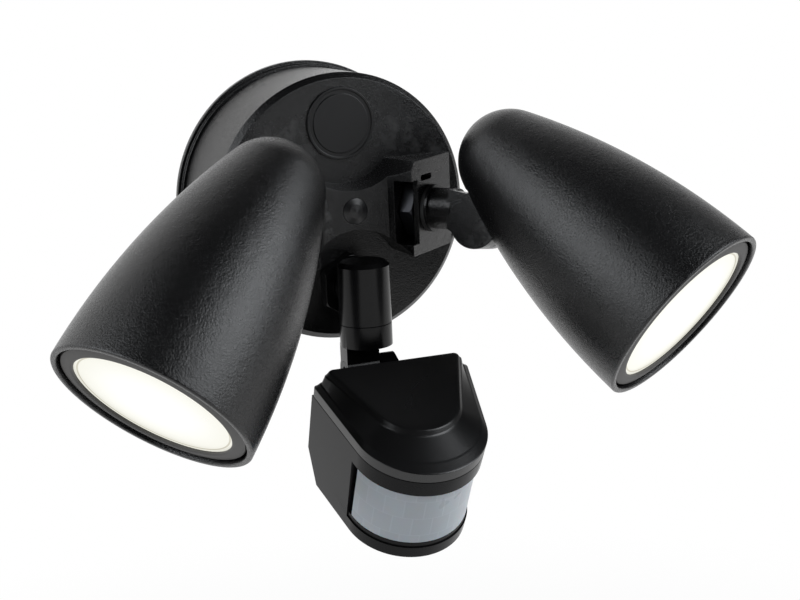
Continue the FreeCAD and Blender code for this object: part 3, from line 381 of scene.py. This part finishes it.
def lit_opal(name, tint, glow):
    """Lit opal cover: a glow that turns warmer towards the rim, with a thin ring of painted shade
    near it standing in for a groove, read from the piece's own map."""
    shader = Shader(name)
    rim = shader.on_map(0)  # 0 in the middle, 1 at the bezel's opening
    mottle = shader.noise(40.0, 2.0) * 0.02
    # painted shade: a thin dark ring near the rim stands for the shadow in a groove that is not
    # built
    painted_groove_shade = rim.smooth(0.945, 0.955) * (1.0 - rim.smooth(0.965, 0.975))
    warm = shader.mix(rim.smooth(0.4, 1.0) + mottle, colour(tint), colour((0.86, 0.85, 0.76)))
    # the glow is darkened along that ring of painted shade
    warm = shader.mix(painted_groove_shade * 0.7, warm, colour((0.42, 0.38, 0.26)))
    return shader.coat(Base_Color=colour((0.06, 0.06, 0.055)), Emission_Color=warm,
                       Emission_Strength=glow, Roughness=mottle * 4.0 + 0.25,
                       Normal=shader.bump(shader.noise(900.0), 0.00001, 0.3))


def segmented_lens(name, tint):
    """Milky segmented lens, read from the piece's own map: rows of facets, each row half a facet
    further on. Each facet gets painted light or shade, the fraction of a sine of its column and
    row numbers, and the lines between facets get a painted highlight."""
    shader = Shader(name)
    along, across = shader.on_map(0), shader.on_map(1)
    rows = across * FACET_ROWS + 0.55
    row = rows.maths("FLOOR")
    columns = along * FACET_COLUMNS + row * 0.5
    from_column = (columns.maths("FRACT") - 0.5).maths("ABSOLUTE").smooth(0.44, 0.5)
    from_row = (rows.maths("FRACT") - 0.5).maths("ABSOLUTE").smooth(0.46, 0.5)
    line = from_column.maths("MAXIMUM", from_row)
    # painted light and shade: each facet lighter or darker, as if it caught the light at its own
    # angle
    shade = ((columns.maths("FLOOR") * 2.7 + row * 4.1).maths("SINE") * 9.0 + 9.0).maths("FRACT")
    cloud = shader.noise(38.0, 3.0)
    body = shader.mix(shade * 0.6 + cloud * 0.4, colour(tint, 0.95), colour(tint, 1.06))
    # painted highlight: the lines between facets are mixed towards a lighter tint, and also bump
    # the surface
    return shader.coat(Base_Color=shader.mix(line * 0.25, body, colour(tint, 1.4)),
                       Roughness=cloud * 0.1 + 0.24, Normal=shader.bump(line, 0.0001, 0.3),
                       Subsurface_Weight=0.25, Subsurface_Scale=0.004)


def circuit(name, tint):
    """Printed board: solder mask with faint tracks."""
    shader = Shader(name)
    tracks = shader.node("ShaderNodeTexBrick", {"offset": 0.4},
                         {"Vector": shader.where(), "Scale": 160.0, "Mortar Size": 0.03,
                          "Color1": (0, 0, 0, 1), "Color2": (0.2, 0.2, 0.2, 1),
                          "Mortar": (1, 1, 1, 1)})
    return shader.coat(Base_Color=shader.mix(tracks * 0.4, colour(tint), colour(tint, 0.6)),
                       Roughness=shader.noise(300.0) * 0.2 + 0.3,
                       Normal=shader.bump(tracks, 0.00003, 0.5))


# ---- settings ----
class LampFinish(bpy.types.PropertyGroup):
    """Colours and surfaces of the coat, the plastics, the sensor's lens and the lit covers."""
    coat_tint: FloatVectorProperty(
        name="Coat", description="Colour of the powder coat", subtype="COLOR",
        default=(0.005, 0.005, 0.0053), min=0.0, max=1.0)
    coat_roughness: FloatProperty(
        name="Coat roughness", description="How dull the powder coat is", default=0.25, min=0.0,
        max=1.0, subtype="FACTOR")
    plastic_tint: FloatVectorProperty(
        name="Plastic", description="Colour of the moulded parts", subtype="COLOR",
        default=(0.005, 0.005, 0.0055), min=0.0, max=1.0)
    lens_tint: FloatVectorProperty(
        name="Sensor lens", description="Colour of the sensor's lens", subtype="COLOR",
        default=(0.47, 0.51, 0.55), min=0.0, max=1.0)
    glow_tint: FloatVectorProperty(
        name="Glow", description="Colour of the lit covers", subtype="COLOR",
        default=(0.95, 0.95, 0.915), min=0.0, max=1.0)
    glow: FloatProperty(
        name="Glow strength", description="Brightness of the lit covers", default=0.90, min=0.0)


class HeadShape(bpy.types.PropertyGroup):
    """Sizes of the bullet-shaped lamp heads."""
    mouth_radius: FloatProperty(
        name="Mouth radius", description="Outer radius at the mouth", default=43.0, min=10.0)
    length: FloatProperty(
        name="Length", description="From the mouth to the tip of the dome", default=127.6, min=20.0)
    dome_radius: FloatProperty(
        name="Dome radius", description="Radius of the round back", default=22.9, min=5.0)
    side_curve: FloatProperty(
        name="Side curve", description="Radius of the long side curve", default=319.5, min=60.0)
    core_radius: FloatProperty(
        name="Core radius", description="Radius of the narrow bore behind the boards", default=12.0,
        min=1.0)
    core_start: FloatProperty(
        name="Core start", description="Depth at which the narrow bore starts", default=81.0,
        min=20.0)
    wall: FloatProperty(
        name="Wall", description="Thickness of the shell", default=2.6, min=0.5)
    bezel_recess: FloatProperty(
        name="Bezel recess", description="How far the bezel lies in", default=1.6, min=0.0)
    bezel_opening: FloatProperty(
        name="Bezel opening", description="Clear radius of the bezel", default=33.8, min=5.0)


class SensorShape(bpy.types.PropertyGroup):
    """Sizes of the motion sensor's cap and lens."""
    front_radius: FloatProperty(
        name="Front radius", description="Radius of the round front", default=28.8, min=5.0)
    reach: FloatProperty(
        name="Reach", description="From the back to the front", default=62.3, min=10.0)
    taper: FloatProperty(
        name="Taper", description="Angle of the sides, in degrees", default=10.3, min=0.0)
    lens_inset: FloatProperty(
        name="Lens inset", description="How far the lens lies in", default=0.8, min=0.0)


class StageSettings(bpy.types.PropertyGroup):
    """Studio lights and floor."""
    right_power: FloatProperty(
        name="Right softbox", description="Power of the light on the right", default=18.0, min=0.0,
        subtype="POWER", unit="POWER")
    left_power: FloatProperty(
        name="Left softbox", description="Power of the light on the left", default=14.5, min=0.0,
        subtype="POWER", unit="POWER")
    room: FloatProperty(
        name="Room light", description="Strength of the dim room", default=0.03, min=0.0)


def finish_of(context):
    """The scene's colours and surfaces."""
    return context.scene.lamp_finish


def paint(piece, material, body):
    """Give a new piece its material and its body."""
    piece.data.materials.clear()
    piece.data.materials.append(material)
    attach(piece, body)


def repaint(node, material):
    """Give a carried-over CAD node its material."""
    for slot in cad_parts[node].material_slots:
        slot.material = material


# ---- lamp heads ----
def side_centre(shape):
    """Centre of the side circle, which passes the mouth corner and touches the dome circle from
    inside. Its distances from the mouth corner and from the dome's centre, side_curve and
    side_curve minus dome_radius, give it as a triangle's third corner."""
    gap = shape.side_curve - shape.dome_radius
    station = shape.dome_radius - shape.length
    reach = shape.mouth_radius ** 2 + station ** 2
    distance = math.sqrt(reach)
    along = (shape.side_curve ** 2 - gap ** 2 + reach) / (2 * distance)
    aside = math.sqrt(shape.side_curve ** 2 - along ** 2)
    unit = np.array([-shape.mouth_radius, station]) / distance
    across = np.array([unit[1], -unit[0]])
    return np.array([shape.mouth_radius, 0.0]) + unit * along + across * aside


def bullet_profile(shape, inset, count):
    """Half outline from the dome's tip to the mouth, moved inwards: a dome arc, then a side arc."""
    centre = side_centre(shape)
    station = shape.dome_radius - shape.length
    bend = math.degrees(math.atan2(station - centre[1], -centre[0]))
    dome = arc((0.0, station), shape.dome_radius - inset, -90.0, bend, count // 3)
    radius = shape.side_curve - inset
    last = math.degrees(math.asin(-centre[1] / radius))
    side = arc(centre, radius, bend, last, count)
    return np.concatenate([dome, side[1:]])


class LAMP_OT_heads(bpy.types.Operator):
    """Build both bullet shells with their lugs, bezels and lit covers"""
    bl_idname = "security_light.heads"
    bl_label = "Lamp heads"

    # Radii of the shell's lips, the least step past them, and the solid end behind the bore.
    LIP, INNER_LIP, STEP, BACK_WALL = 0.9, 0.7, 0.05, 8.0
    # The bezel's gap to the shell and its depth; the cover's lap under it, gap, wall and crown.
    BEZEL_GAP, BEZEL_DEPTH = 0.25, 7.0
    COVER_LAP, COVER_GAP, COVER_THICKNESS, COVER_CROWN = 0.4, 0.45, 2.3, 0.25

    def execute(self, context):
        finish, shape = finish_of(context), context.scene.head_shape
        coat = powder_coat("wrinkle powder coat", finish, 0.00011, 0.5)
        bezel_finish = moulded("bezel plastic", (0.045, 0.043, 0.041), 0.55)
        cover_finish = lit_opal("lit opal", finish.glow_tint, finish.glow)
        for side in ("left", "right"):
            matrix = mouth_frame(side)
            shell = revolve(side + "_shell", self.profile(shape), matrix)
            access = self.access(side, matrix)
            carve(shell, self.slot(side, matrix), access)
            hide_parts(side + "_head_shell")
            paint(shell, coat, side + "_head")
            self.lug(side, matrix, coat)
            self.bezel(side, matrix, bezel_finish, shape)
            self.cover(side, matrix, cover_finish, shape)
        return {"FINISHED"}

    def profile(self, shape):
        """The shell's closed half outline: bullet outside, round lip, wall inside, narrow bore."""
        outer = bullet_profile(shape, 0.0, 72)
        inner = bullet_profile(shape, shape.wall, 60)[::-1]
        lip = arc((outer[-1, 0] - self.LIP, -self.LIP), self.LIP, 0.0, 90.0, 6)
        centre = (inner[0, 0] + self.INNER_LIP, -self.INNER_LIP)
        lip_in = arc(centre, self.INNER_LIP, 90.0, 180.0, 5)
        outer = outer[outer[:, 1] < -self.LIP - self.STEP]
        inner = inner[inner[:, 1] < -self.INNER_LIP - self.STEP]
        inner = inner[inner[:, 1] > -shape.core_start]
        core_end = self.BACK_WALL - shape.length
        core = np.array([[inner[-1, 0], -shape.core_start], [shape.core_radius, -shape.core_start],
                         [shape.core_radius, core_end], [0.0, core_end]])
        return np.concatenate([outer, lip, lip_in, inner, core])

    def slot(self, side, matrix):
        """The room in the dome for the arm's knuckle: an arc round the bolt, then the line that the
        neck reaches at the steepest tilt."""
        steep = math.radians(STEEPEST)
        bend = arc((PIVOT_ARM, -PIVOT_STATION), SLOT_RADIUS, 90.0, 270.0 - STEEPEST, 24)
        foot = -PIVOT_STATION - NECK_BACK * math.sin(steep) - NECK_SIDE * math.cos(steep)
        inner = PIVOT_ARM + NECK_BACK * math.cos(steep) - NECK_SIDE * math.sin(steep)
        rest = np.array([[inner, foot], [SLOT_OUT, foot], [SLOT_OUT, SLOT_RADIUS - PIVOT_STATION]])
        low, high = (-SLOT_FAR, -LUG_HALF) if SIDE[side] > 0 else (LUG_HALF, SLOT_FAR)
        return slab(side + "_slot", np.concatenate([bend, rest]), low, high, matrix, 0.0)

    def access(self, side, matrix):
        """The round way in for the bolt's head, from inside the lug out through the shell."""
        ring = arc((PIVOT_ARM, -PIVOT_STATION), BOLT_ROOM, 0.0, 360.0, 49)[:-1]
        low, high = (BOLT_SEAT, BOLT_WAY_END) if SIDE[side] > 0 else (-BOLT_WAY_END, -BOLT_SEAT)
        return slab(side + "_access", ring, low, high, matrix, 0.0)

    def lug(self, side, matrix, coat):
        """The lug's outline: a half circle round the bolt and straight sides into the shell."""
        end = arc((PIVOT_ARM, -PIVOT_STATION), LUG_RADIUS, -90.0, 90.0, 25)
        root = np.array([[LUG_ROOT, LUG_RADIUS - PIVOT_STATION],
                         [LUG_ROOT, -LUG_RADIUS - PIVOT_STATION]])
        outline = np.concatenate([end, root])
        piece = slab(side + "_shell_lug", outline, -LUG_HALF, LUG_HALF, matrix, LUG_EDGE)
        carve(piece, self.access(side, matrix))
        paint(piece, coat, side + "_head")

    def bezel(self, side, matrix, material, shape):
        """A ring just inside the shell's mouth that rises a little towards the cover. Its profile
        is drawn from its outer edge, its opening and its front."""
        outer = shape.mouth_radius - shape.wall - self.BEZEL_GAP
        front, opening = -shape.bezel_recess, shape.bezel_opening
        inside, foot = outer - 3.0, front - self.BEZEL_DEPTH
        profile = np.array([[outer - 1.0, foot], [outer - 0.6, front - 0.5], [outer - 1.0, front],
                            [opening + 1.2, front + 0.9], [opening + 0.4, front + 0.75],
                            [opening, front + 0.4], [opening, front - 0.3],
                            [inside, front - 1.9], [inside, foot], [outer - 1.0, foot]])
        piece = revolve(side + "_bezel_ring", profile, matrix, close=False)
        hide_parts(side + "_bezel")
        paint(piece, material, side + "_head")

    def cover(self, side, matrix, material, shape):
        """A shallow crowned disc, whose rise falls with the square of the radius. Its map holds the
        radius as a share of the bezel's opening."""
        edge = shape.bezel_opening + self.COVER_LAP
        front = -shape.bezel_recess - self.COVER_GAP
        back = front - self.COVER_THICKNESS
        share = np.linspace(0.0, 1.0, 24)
        radius = np.concatenate([edge * share, [edge, 0.0]])
        station = np.concatenate([front - self.COVER_CROWN * share ** 2, [back, back]])
        map_place = np.repeat((radius / shape.bezel_opening)[:, None], 96, axis=1)
        piece = revolve(side + "_lit_cover", np.stack([radius, station], axis=1), matrix, count=96,
                        uv=np.stack([map_place, map_place], axis=-1))
        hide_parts(side + "_diffuser")
        paint(piece, material, side + "_head")


# ---- canopy ----
class LAMP_OT_canopy(bpy.types.Operator):
    """Round the edges of the cast canopy and its plugs, and give them their coats"""
    bl_idname = "security_light.canopy"
    bl_label = "Canopy"

    def execute(self, context):
        finish = finish_of(context)
        coat = powder_coat("canopy powder coat", finish, 0.00009, 0.42)
        plastic = moulded("plug plastic", finish.plastic_tint, 0.38, 0.00006, 0.36)
        for name, node, width, material, slot in (
                ("cast_housing", "front_housing", 0.7, coat, "black_cast"),
                ("cast_base", "rear_base", 0.5, coat, "black_cast"),
                ("threaded_plug", "blanking_plug", 0.25, plastic, "black_moulded")):
            paint(rounded(name, node, width), material, "canopy")
        vinyl = moulded("screw plug vinyl", finish.plastic_tint, 0.4, 0.00002, 0.45)
        repaint("centre_screw_plug", vinyl)
        repaint("wall_gasket", rubber("gasket rubber"))
        repaint("wall_bracket", bare_metal("zinc plate", (0.55, 0.56, 0.57), 0.42))
        repaint("centre_screw", bare_metal("screw steel", (0.5, 0.5, 0.5), 0.35))
        repaint("led_driver", moulded("driver case", (0.8, 0.8, 0.78), 0.5))
        repaint("terminal_block", moulded("terminal plastic", (0.72, 0.72, 0.68), 0.5))
        return {"FINISHED"}


# ---- arms ----
class LAMP_OT_arms(bpy.types.Operator):
    """Round the edges of the arms, nuts and bolts, and give them their coats"""
    bl_idname = "security_light.arms"
    bl_label = "Arms"

    def execute(self, context):
        finish = finish_of(context)
        coat = powder_coat("arm powder coat", finish, 0.00008, 0.3)
        dark_steel = bare_metal("black oxide", (0.03, 0.031, 0.036), 0.34, 0.7)
        seal = rubber("arm seal rubber")
        for side in ("left", "right"):
            arm = rounded(side + "_cast_arm", side + "_arm", 0.8, 3)
            paint(arm, coat, side + "_arm")
            nut = rounded(side + "_arm_nut", side + "_lock_nut", 0.3)
            paint(nut, dark_steel, "canopy")
            bolt = rounded(side + "_knuckle_bolt", side + "_pivot_bolt", 0.25)
            paint(bolt, dark_steel, side + "_arm")
            repaint(side + "_arm_seal", seal)
        return {"FINISHED"}


# ---- sensor ----
def plan_front(taper, radius, reach, rear, count):
    """The round front of the sensor's plan as an arc, and half the plan's width at its rear, where
    the tapering sides that touch the arc end."""
    angle = math.radians(taper)
    centre = reach - radius
    half = (radius + math.sin(angle) * (centre - rear)) / math.cos(angle)
    return arc((0.0, -centre), radius, 180 + taper, 360 - taper, count), half


def at_height(loop, height):
    """A flat outline lifted to a height."""
    return np.stack([loop[:, 0], loop[:, 1], np.full(len(loop), height)], axis=1)


def plan_ring(shape, radius, reach, rear, height, corner, splay):
    """One closed ring of the sensor's plan: back corners drawn with a small radius, and sides that
    taper towards a round front. Each stretch is a straight blend of its ends or an arc."""
    taper = shape.taper + splay
    front, half = plan_front(taper, radius, reach, rear, 40)
    inward = corner * math.tan(math.pi / 4 + math.radians(taper) / 2)
    right = arc((half - inward, -rear - corner), corner, -taper, 90.0, 7)
    left = np.stack([-right[::-1, 0], right[::-1, 1]], axis=1)
    steps = np.linspace(0.0, 1.0, 14)[1:-1, None]
    right_side = front[-1] + (right[0] - front[-1]) * steps
    left_side = left[-1] + (front[0] - left[-1]) * steps
    back = right[-1] + (left[0] - right[-1]) * steps
    return at_height(np.concatenate([front, right_side, right, back, left, left_side]), height)


class LAMP_OT_sensor(bpy.types.Operator):
    """Build the sensor's cap and lens, and round the edges of its housing, stem and collar"""
    bl_idname = "security_light.sensor"
    bl_label = "Motion sensor"

    # The sensor's back and the seam under its cap, seen from the hinge.
    BACK, SEAM = 24.7, 11.0
    # Rings of the cap: how far the front radius and the reach are drawn in, how far in the back
    # lies, the height, the radius of the back corners, and how much more the sides taper.
    CAP_RINGS = (
        (0.30, 0.30, 0.3, 0.15, 1.2, 0.0), (0.00, 0.00, 0.0, 0.45, 1.4, 0.0),
        (-0.20, -0.25, 0.0, 5.00, 1.5, 0.0), (-0.05, -0.05, 0.1, 5.25, 1.5, 0.0),
        (0.30, 0.55, 0.2, 5.42, 1.6, 0.0), (1.15, 4.00, 0.2, 6.58, 1.8, 0.0),
        (1.45, 4.70, 0.2, 6.80, 1.8, 0.0), (1.90, 5.50, 0.2, 6.98, 1.8, 0.0),
        (8.20, 15.40, 0.2, 10.70, 1.6, 10.5), (8.50, 16.10, 0.2, 10.95, 1.5, 10.5),
        (8.80, 16.50, 0.2, 11.35, 1.5, 10.5), (9.60, 17.40, 0.2, 12.60, 1.5, 10.5),
        (10.00, 17.80, 0.3, 12.90, 1.5, 10.5), (10.70, 18.50, 0.6, 13.05, 1.4, 10.5))
    CREST_AXIS = (-22.0, -20.0)
    # The lens: its foot and top below the seam, its rear ends, its wall and how far it leans back,
    # and how much its radius and reach grow with each millimetre of height.
    LENS_FOOT, LENS_TOP, LENS_REAR, LENS_WALL, LENS_LEAN = -36.75, -7.75, 37.3, 1.2, 0.9
    RADIUS_GROWTH, REACH_GROWTH = 0.0384, 0.0507

    def execute(self, context):
        finish, shape = finish_of(context), context.scene.sensor_shape
        plastic = moulded("sensor plastic", finish.plastic_tint, 0.24, 0.00001, 0.24)
        matrix = sensor_frame() @ shift(0, -self.BACK, self.SEAM)
        self.cap(shape, matrix, moulded("cap plastic", finish.plastic_tint, 0.31, 0.00002, 0.55))
        self.lens(shape, matrix, segmented_lens("segmented lens", finish.lens_tint))
        dull_plastic = moulded("housing plastic", finish.plastic_tint, 0.28, 0.00001, 0.12)
        for name, node, width, material, body in (
                ("moulded_housing", "sensor_housing", 0.5, dull_plastic, "sensor_head"),
                ("moulded_stem", "sensor_stem", 0.5, plastic, "canopy"),
                ("moulded_collar", "sensor_collar", 0.4, plastic, "sensor_collar"),
                ("stem_nut", "sensor_lock_nut", 0.4, plastic, "canopy")):
            paint(rounded(name, node, width), material, body)
        dial = moulded("dial plastic", (0.07, 0.07, 0.07), 0.4)
        for node in ("range_dial", "time_dial", "light_dial"):
            repaint(node, dial)
        repaint("sensor_tilt_bolt", bare_metal("hinge bolt steel", (0.05, 0.05, 0.052), 0.4, 0.7))
        repaint("sensor_board", circuit("green board", (0.03, 0.16, 0.07)))
        repaint("motion_detector", bare_metal("detector can", (0.6, 0.6, 0.6), 0.3))
        return {"FINISHED"}

    def cap(self, shape, matrix, material):
        """Rings of the plan at rising heights: band, bevel, sloping roof, crest edge, flat crest.
        The flat top closes as rings that shrink to a line on the axis of the plan."""
        rings = [plan_ring(shape, shape.front_radius - inset, shape.reach - drawn, *rest)
                 for inset, drawn, *rest in self.CAP_RINGS]
        last = rings[-1]
        axis = np.clip(last[:, 1], *self.CREST_AXIS)
        spine = np.stack([last[:, 0] * 0.0, axis, last[:, 2]], axis=1)
        rings += [last + (spine - last) * share for share in (0.15, 0.4, 0.7, 0.999)]
        piece = surface("crested_cap", place(np.array(rings), matrix), sharp=ROUNDED_SHARP_ANGLE)
        piece.modifiers.new("weighted normals", "WEIGHTED_NORMAL").keep_sharp = True
        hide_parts("sensor_cap")
        paint(piece, material, "sensor_head")

    def lens(self, shape, matrix, material):
        """A thin curved wall that follows the plan and leans back by a straight share of its
        height. Its map holds the shares of the way round the plan and of the height."""
        rises = np.linspace(self.LENS_FOOT, self.LENS_TOP, 12)
        shares = np.linspace(0.0, 1.0, 12)
        grids = []
        for inset in (shape.lens_inset, shape.lens_inset + self.LENS_WALL):
            rows = []
            for rise, share in zip(rises, shares):
                drawn = inset + self.LENS_LEAN * share
                radius = shape.front_radius + rise * self.RADIUS_GROWTH - drawn
                reach = shape.reach + rise * self.REACH_GROWTH - drawn
                rows.append(self.open_plan(shape, radius, reach, rise))
            grids.append(np.array(rows))
        loop = np.concatenate([grids[0], grids[1][::-1], grids[0][:1]])
        along = np.linspace(0.0, 1.0, loop.shape[1])[None, :].repeat(loop.shape[0], axis=0)
        height = (loop[:, :, 2] - self.LENS_FOOT) / (self.LENS_TOP - self.LENS_FOOT)
        height = np.clip(height, 0.0, 1.0)
        piece = surface("faceted_lens", place(loop, matrix), wrap=False,
                        uv=np.stack([along, height], axis=-1))
        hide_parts("sensor_lens")
        paint(piece, material, "sensor_head")

    def open_plan(self, shape, radius, reach, height):
        """The plan from the lens's left rear end, round the front, to its right rear end."""
        front, half = plan_front(shape.taper, radius, reach, self.LENS_REAR, 60)
        left, right = [[-half, -self.LENS_REAR]], [[half, -self.LENS_REAR]]
        return at_height(np.concatenate([left, front, right]), height)


# ---- inner parts ----
class LAMP_OT_inner(bpy.types.Operator):
    """Give the boards, chips, plates and gaskets inside the heads their finishes"""
    bl_idname = "security_light.inner"
    bl_label = "Inner parts"

    def execute(self, context):
        board = circuit("white board", (0.75, 0.75, 0.73))
        chip = moulded("chip phosphor", (0.75, 0.6, 0.12), 0.3)
        plate = bare_metal("milled plate", (0.66, 0.66, 0.67), 0.4)
        seal = rubber("lens gasket rubber")
        for side in ("left", "right"):
            repaint(side + "_led_board", board)
            repaint(side + "_led_chips", chip)
            repaint(side + "_heat_plate", plate)
            repaint(side + "_lens_gasket", seal)
        return {"FINISHED"}


# ---- stage ----
def towards(heading, elevation):
    """The way from the lamp to a place at a heading, counted from the lamp's front, and an
    elevation: sine and minus cosine of the heading times the elevation's cosine, and its sine."""
    heading, elevation = math.radians(heading), math.radians(elevation)
    level = math.cos(elevation)
    return np.array([math.sin(heading) * level, -math.cos(heading) * level, math.sin(elevation)])


class LAMP_OT_stage(bpy.types.Operator):
    """Set up the white room, the soft lights, the pale floor and the camera"""
    bl_idname = "security_light.stage"
    bl_label = "Stage"

    WHITE = (1.0, 1.0, 1.0, 1.0)
    FLOOR_HEIGHT, FLOOR_REACH, FLOOR_SHADED = -0.60, 6.0, 0.86
    SOFTBOX_ELEVATION, SOFTBOX_DISTANCE, SOFTBOX_SIZE = 28.0, 1.4, (1.25, 1.0)
    SOFTBOX_AIM, SOFTBOX_COLOUR = np.array([0.0, -0.10, -0.02]), (0.94, 0.97, 1.0)
    HEADING, ELEVATION, ROLL, DISTANCE = -25.3, 12.9, -2.3, 0.7899
    TARGET = np.array([0.0483, 0.0, -0.058])

    def execute(self, context):
        settings = context.scene.stage_settings
        self.world(settings.room)
        self.floor()
        self.camera(context)
        for name, heading, power in (("right softbox", 51.0, settings.right_power),
                                     ("left softbox", -88.0, settings.left_power)):
            self.softbox(name, heading, power)
        context.scene.view_settings.view_transform = "Standard"
        return {"FINISHED"}

    def shown(self, shader):
        """Two masks: 1 for rays from the camera, and 1 for rays from a gloss or through glass."""
        rays = [shader.node("ShaderNodeLightPath", output=name)
                for name in ("Is Camera Ray", "Is Glossy Ray", "Is Transmission Ray")]
        return rays[0], rays[1].maths("MAXIMUM", rays[2])

    def world(self, ambient):
        """A white backdrop to the camera on every side, and to gloss and glass behind the lamp, as
        in a studio that is dark behind its camera; to everything else a plain dim room."""
        world = bpy.data.worlds.new("studio room")
        bpy.context.scene.world = world
        world.use_nodes = True
        shader = Shader(tree=world.node_tree)
        direction = shader.node("ShaderNodeTexCoord", output="Generated")
        behind = shader.node("ShaderNodeSeparateXYZ", {}, [direction], output=1).smooth(0.25, 0.85)
        camera, gloss = self.shown(shader)
        white = camera.maths("MAXIMUM", gloss * behind)
        back = next(node for node in world.node_tree.nodes if node.type == "BACKGROUND")
        shader.feed(back.inputs["Color"], self.WHITE)
        shader.feed(back.inputs["Strength"], white * (1.0 - ambient) + ambient)

    def floor(self):
        """A wide pale floor, white to the camera far off; near the lamp it keeps a soft shadow."""
        reach, height = self.FLOOR_REACH, self.FLOOR_HEIGHT
        corners = [(-reach, -reach, height), (reach, -reach, height), (reach, reach, height),
                   (-reach, reach, height)]
        mesh = bpy.data.meshes.new("pale_floor")
        mesh.from_pydata(corners, [], [(0, 1, 2, 3)])
        floor = bpy.data.objects.new("pale_floor", mesh)
        bpy.context.scene.collection.objects.link(floor)
        shader = Shader("pale floor")
        pale = shader.mix(shader.noise(3.0), (0.88, 0.88, 0.88, 1.0), (0.91, 0.91, 0.91, 1.0))
        shader.coat(Base_Color=pale, Roughness=0.9)
        white = shader.node("ShaderNodeEmission", {}, {"Color": self.WHITE, "Strength": 1.0})
        far = shader.node("ShaderNodeVectorMath", {"operation": "LENGTH"}, [shader.where()],
                          output=1)
        camera, gloss = self.shown(shader)
        fading = far.smooth(0.7, 1.3) * (1.0 - self.FLOOR_SHADED) + self.FLOOR_SHADED
        share = camera.maths("MAXIMUM", gloss) * fading
        shaded = Value(shader, shader.surface.outputs[0])
        mixed = shader.node("ShaderNodeMixShader", {}, [share, shaded, white])
        output = next(node for node in shader.tree.nodes if node.type == "OUTPUT_MATERIAL")
        shader.feed(output.inputs["Surface"], mixed)
        mesh.materials.append(shader.material)

    def softbox(self, name, heading, power):
        """A large square light that looks at the lamp from a heading, counted from its front."""
        direction = towards(heading, self.SOFTBOX_ELEVATION)
        lamp = bpy.data.lights.new(name, "AREA")
        lamp.shape = "RECTANGLE"
        lamp.size, lamp.size_y = self.SOFTBOX_SIZE
        lamp.energy = power
        lamp.color = self.SOFTBOX_COLOUR
        softbox = bpy.data.objects.new(name, lamp)
        turned = Vector(direction.tolist()).to_track_quat("Z", "Y").to_matrix().to_4x4()
        centre = self.SOFTBOX_DISTANCE * direction + self.SOFTBOX_AIM
        softbox.matrix_world = Matrix.Translation(centre) @ turned
        bpy.context.scene.collection.objects.link(softbox)

    def camera(self, context):
        """Placed by the photograph's viewing angle: heading, elevation, roll and distance from a
        target. The picture's right and up are turned about the line of sight by the roll."""
        heading, roll = math.radians(self.HEADING), math.radians(self.ROLL)
        back = towards(self.HEADING, self.ELEVATION)
        right = np.array([math.cos(heading), math.sin(heading), 0.0])
        up = np.cross(back, right)
        table = np.eye(4)
        table[:3, 0] = math.cos(roll) * right + math.sin(roll) * up
        table[:3, 1] = math.cos(roll) * up - math.sin(roll) * right
        table[:3, 2] = back
        table[:3, 3] = self.TARGET + self.DISTANCE * back
        lens = bpy.data.cameras.new("photo camera")
        lens.lens, lens.sensor_width = 72.0, 36.0
        camera = bpy.data.objects.new("photo camera", lens)
        camera.matrix_world = Matrix(table.tolist())
        context.scene.collection.objects.link(camera)
        context.scene.camera = camera


class LAMP_PT_panel(bpy.types.Panel):
    """The steps that dress the light, in order"""
    bl_idname = "LAMP_PT_panel"
    bl_label = "Security light"
    bl_space_type = "VIEW_3D"
    bl_region_type = "UI"
    bl_category = "Security light"

    def draw(self, context):
        column = self.layout.column()
        for operator in STEPS:
            column.operator(operator.bl_idname)
        for group in ("lamp_finish", "head_shape", "sensor_shape", "stage_settings"):
            settings = getattr(context.scene, group)
            for name in settings.__annotations__:
                column.prop(settings, name)


GROUPS = {"lamp_finish": LampFinish, "head_shape": HeadShape, "sensor_shape": SensorShape,
          "stage_settings": StageSettings}
STEPS = (LAMP_OT_canopy, LAMP_OT_arms, LAMP_OT_heads, LAMP_OT_sensor, LAMP_OT_inner, LAMP_OT_stage)


def register():
    """Register the settings, then the operators and the panel."""
    for group in GROUPS.values():
        bpy.utils.register_class(group)
    for name, group in GROUPS.items():
        setattr(bpy.types.Scene, name, PointerProperty(type=group))
    for entry in STEPS + (LAMP_PT_panel,):
        bpy.utils.register_class(entry)


def unregister():
    """Take everything out again that register adds."""
    for entry in STEPS + (LAMP_PT_panel,):
        bpy.utils.unregister_class(entry)
    for name, group in GROUPS.items():
        delattr(bpy.types.Scene, name)
        bpy.utils.unregister_class(group)


def main():
    """Dress the light step by step."""
    register()
    bpy.ops.security_light.canopy()
    bpy.ops.security_light.arms()
    bpy.ops.security_light.heads()
    bpy.ops.security_light.sensor()
    bpy.ops.security_light.inner()
    bpy.ops.security_light.stage()


if __name__ == "__main__":
    main()
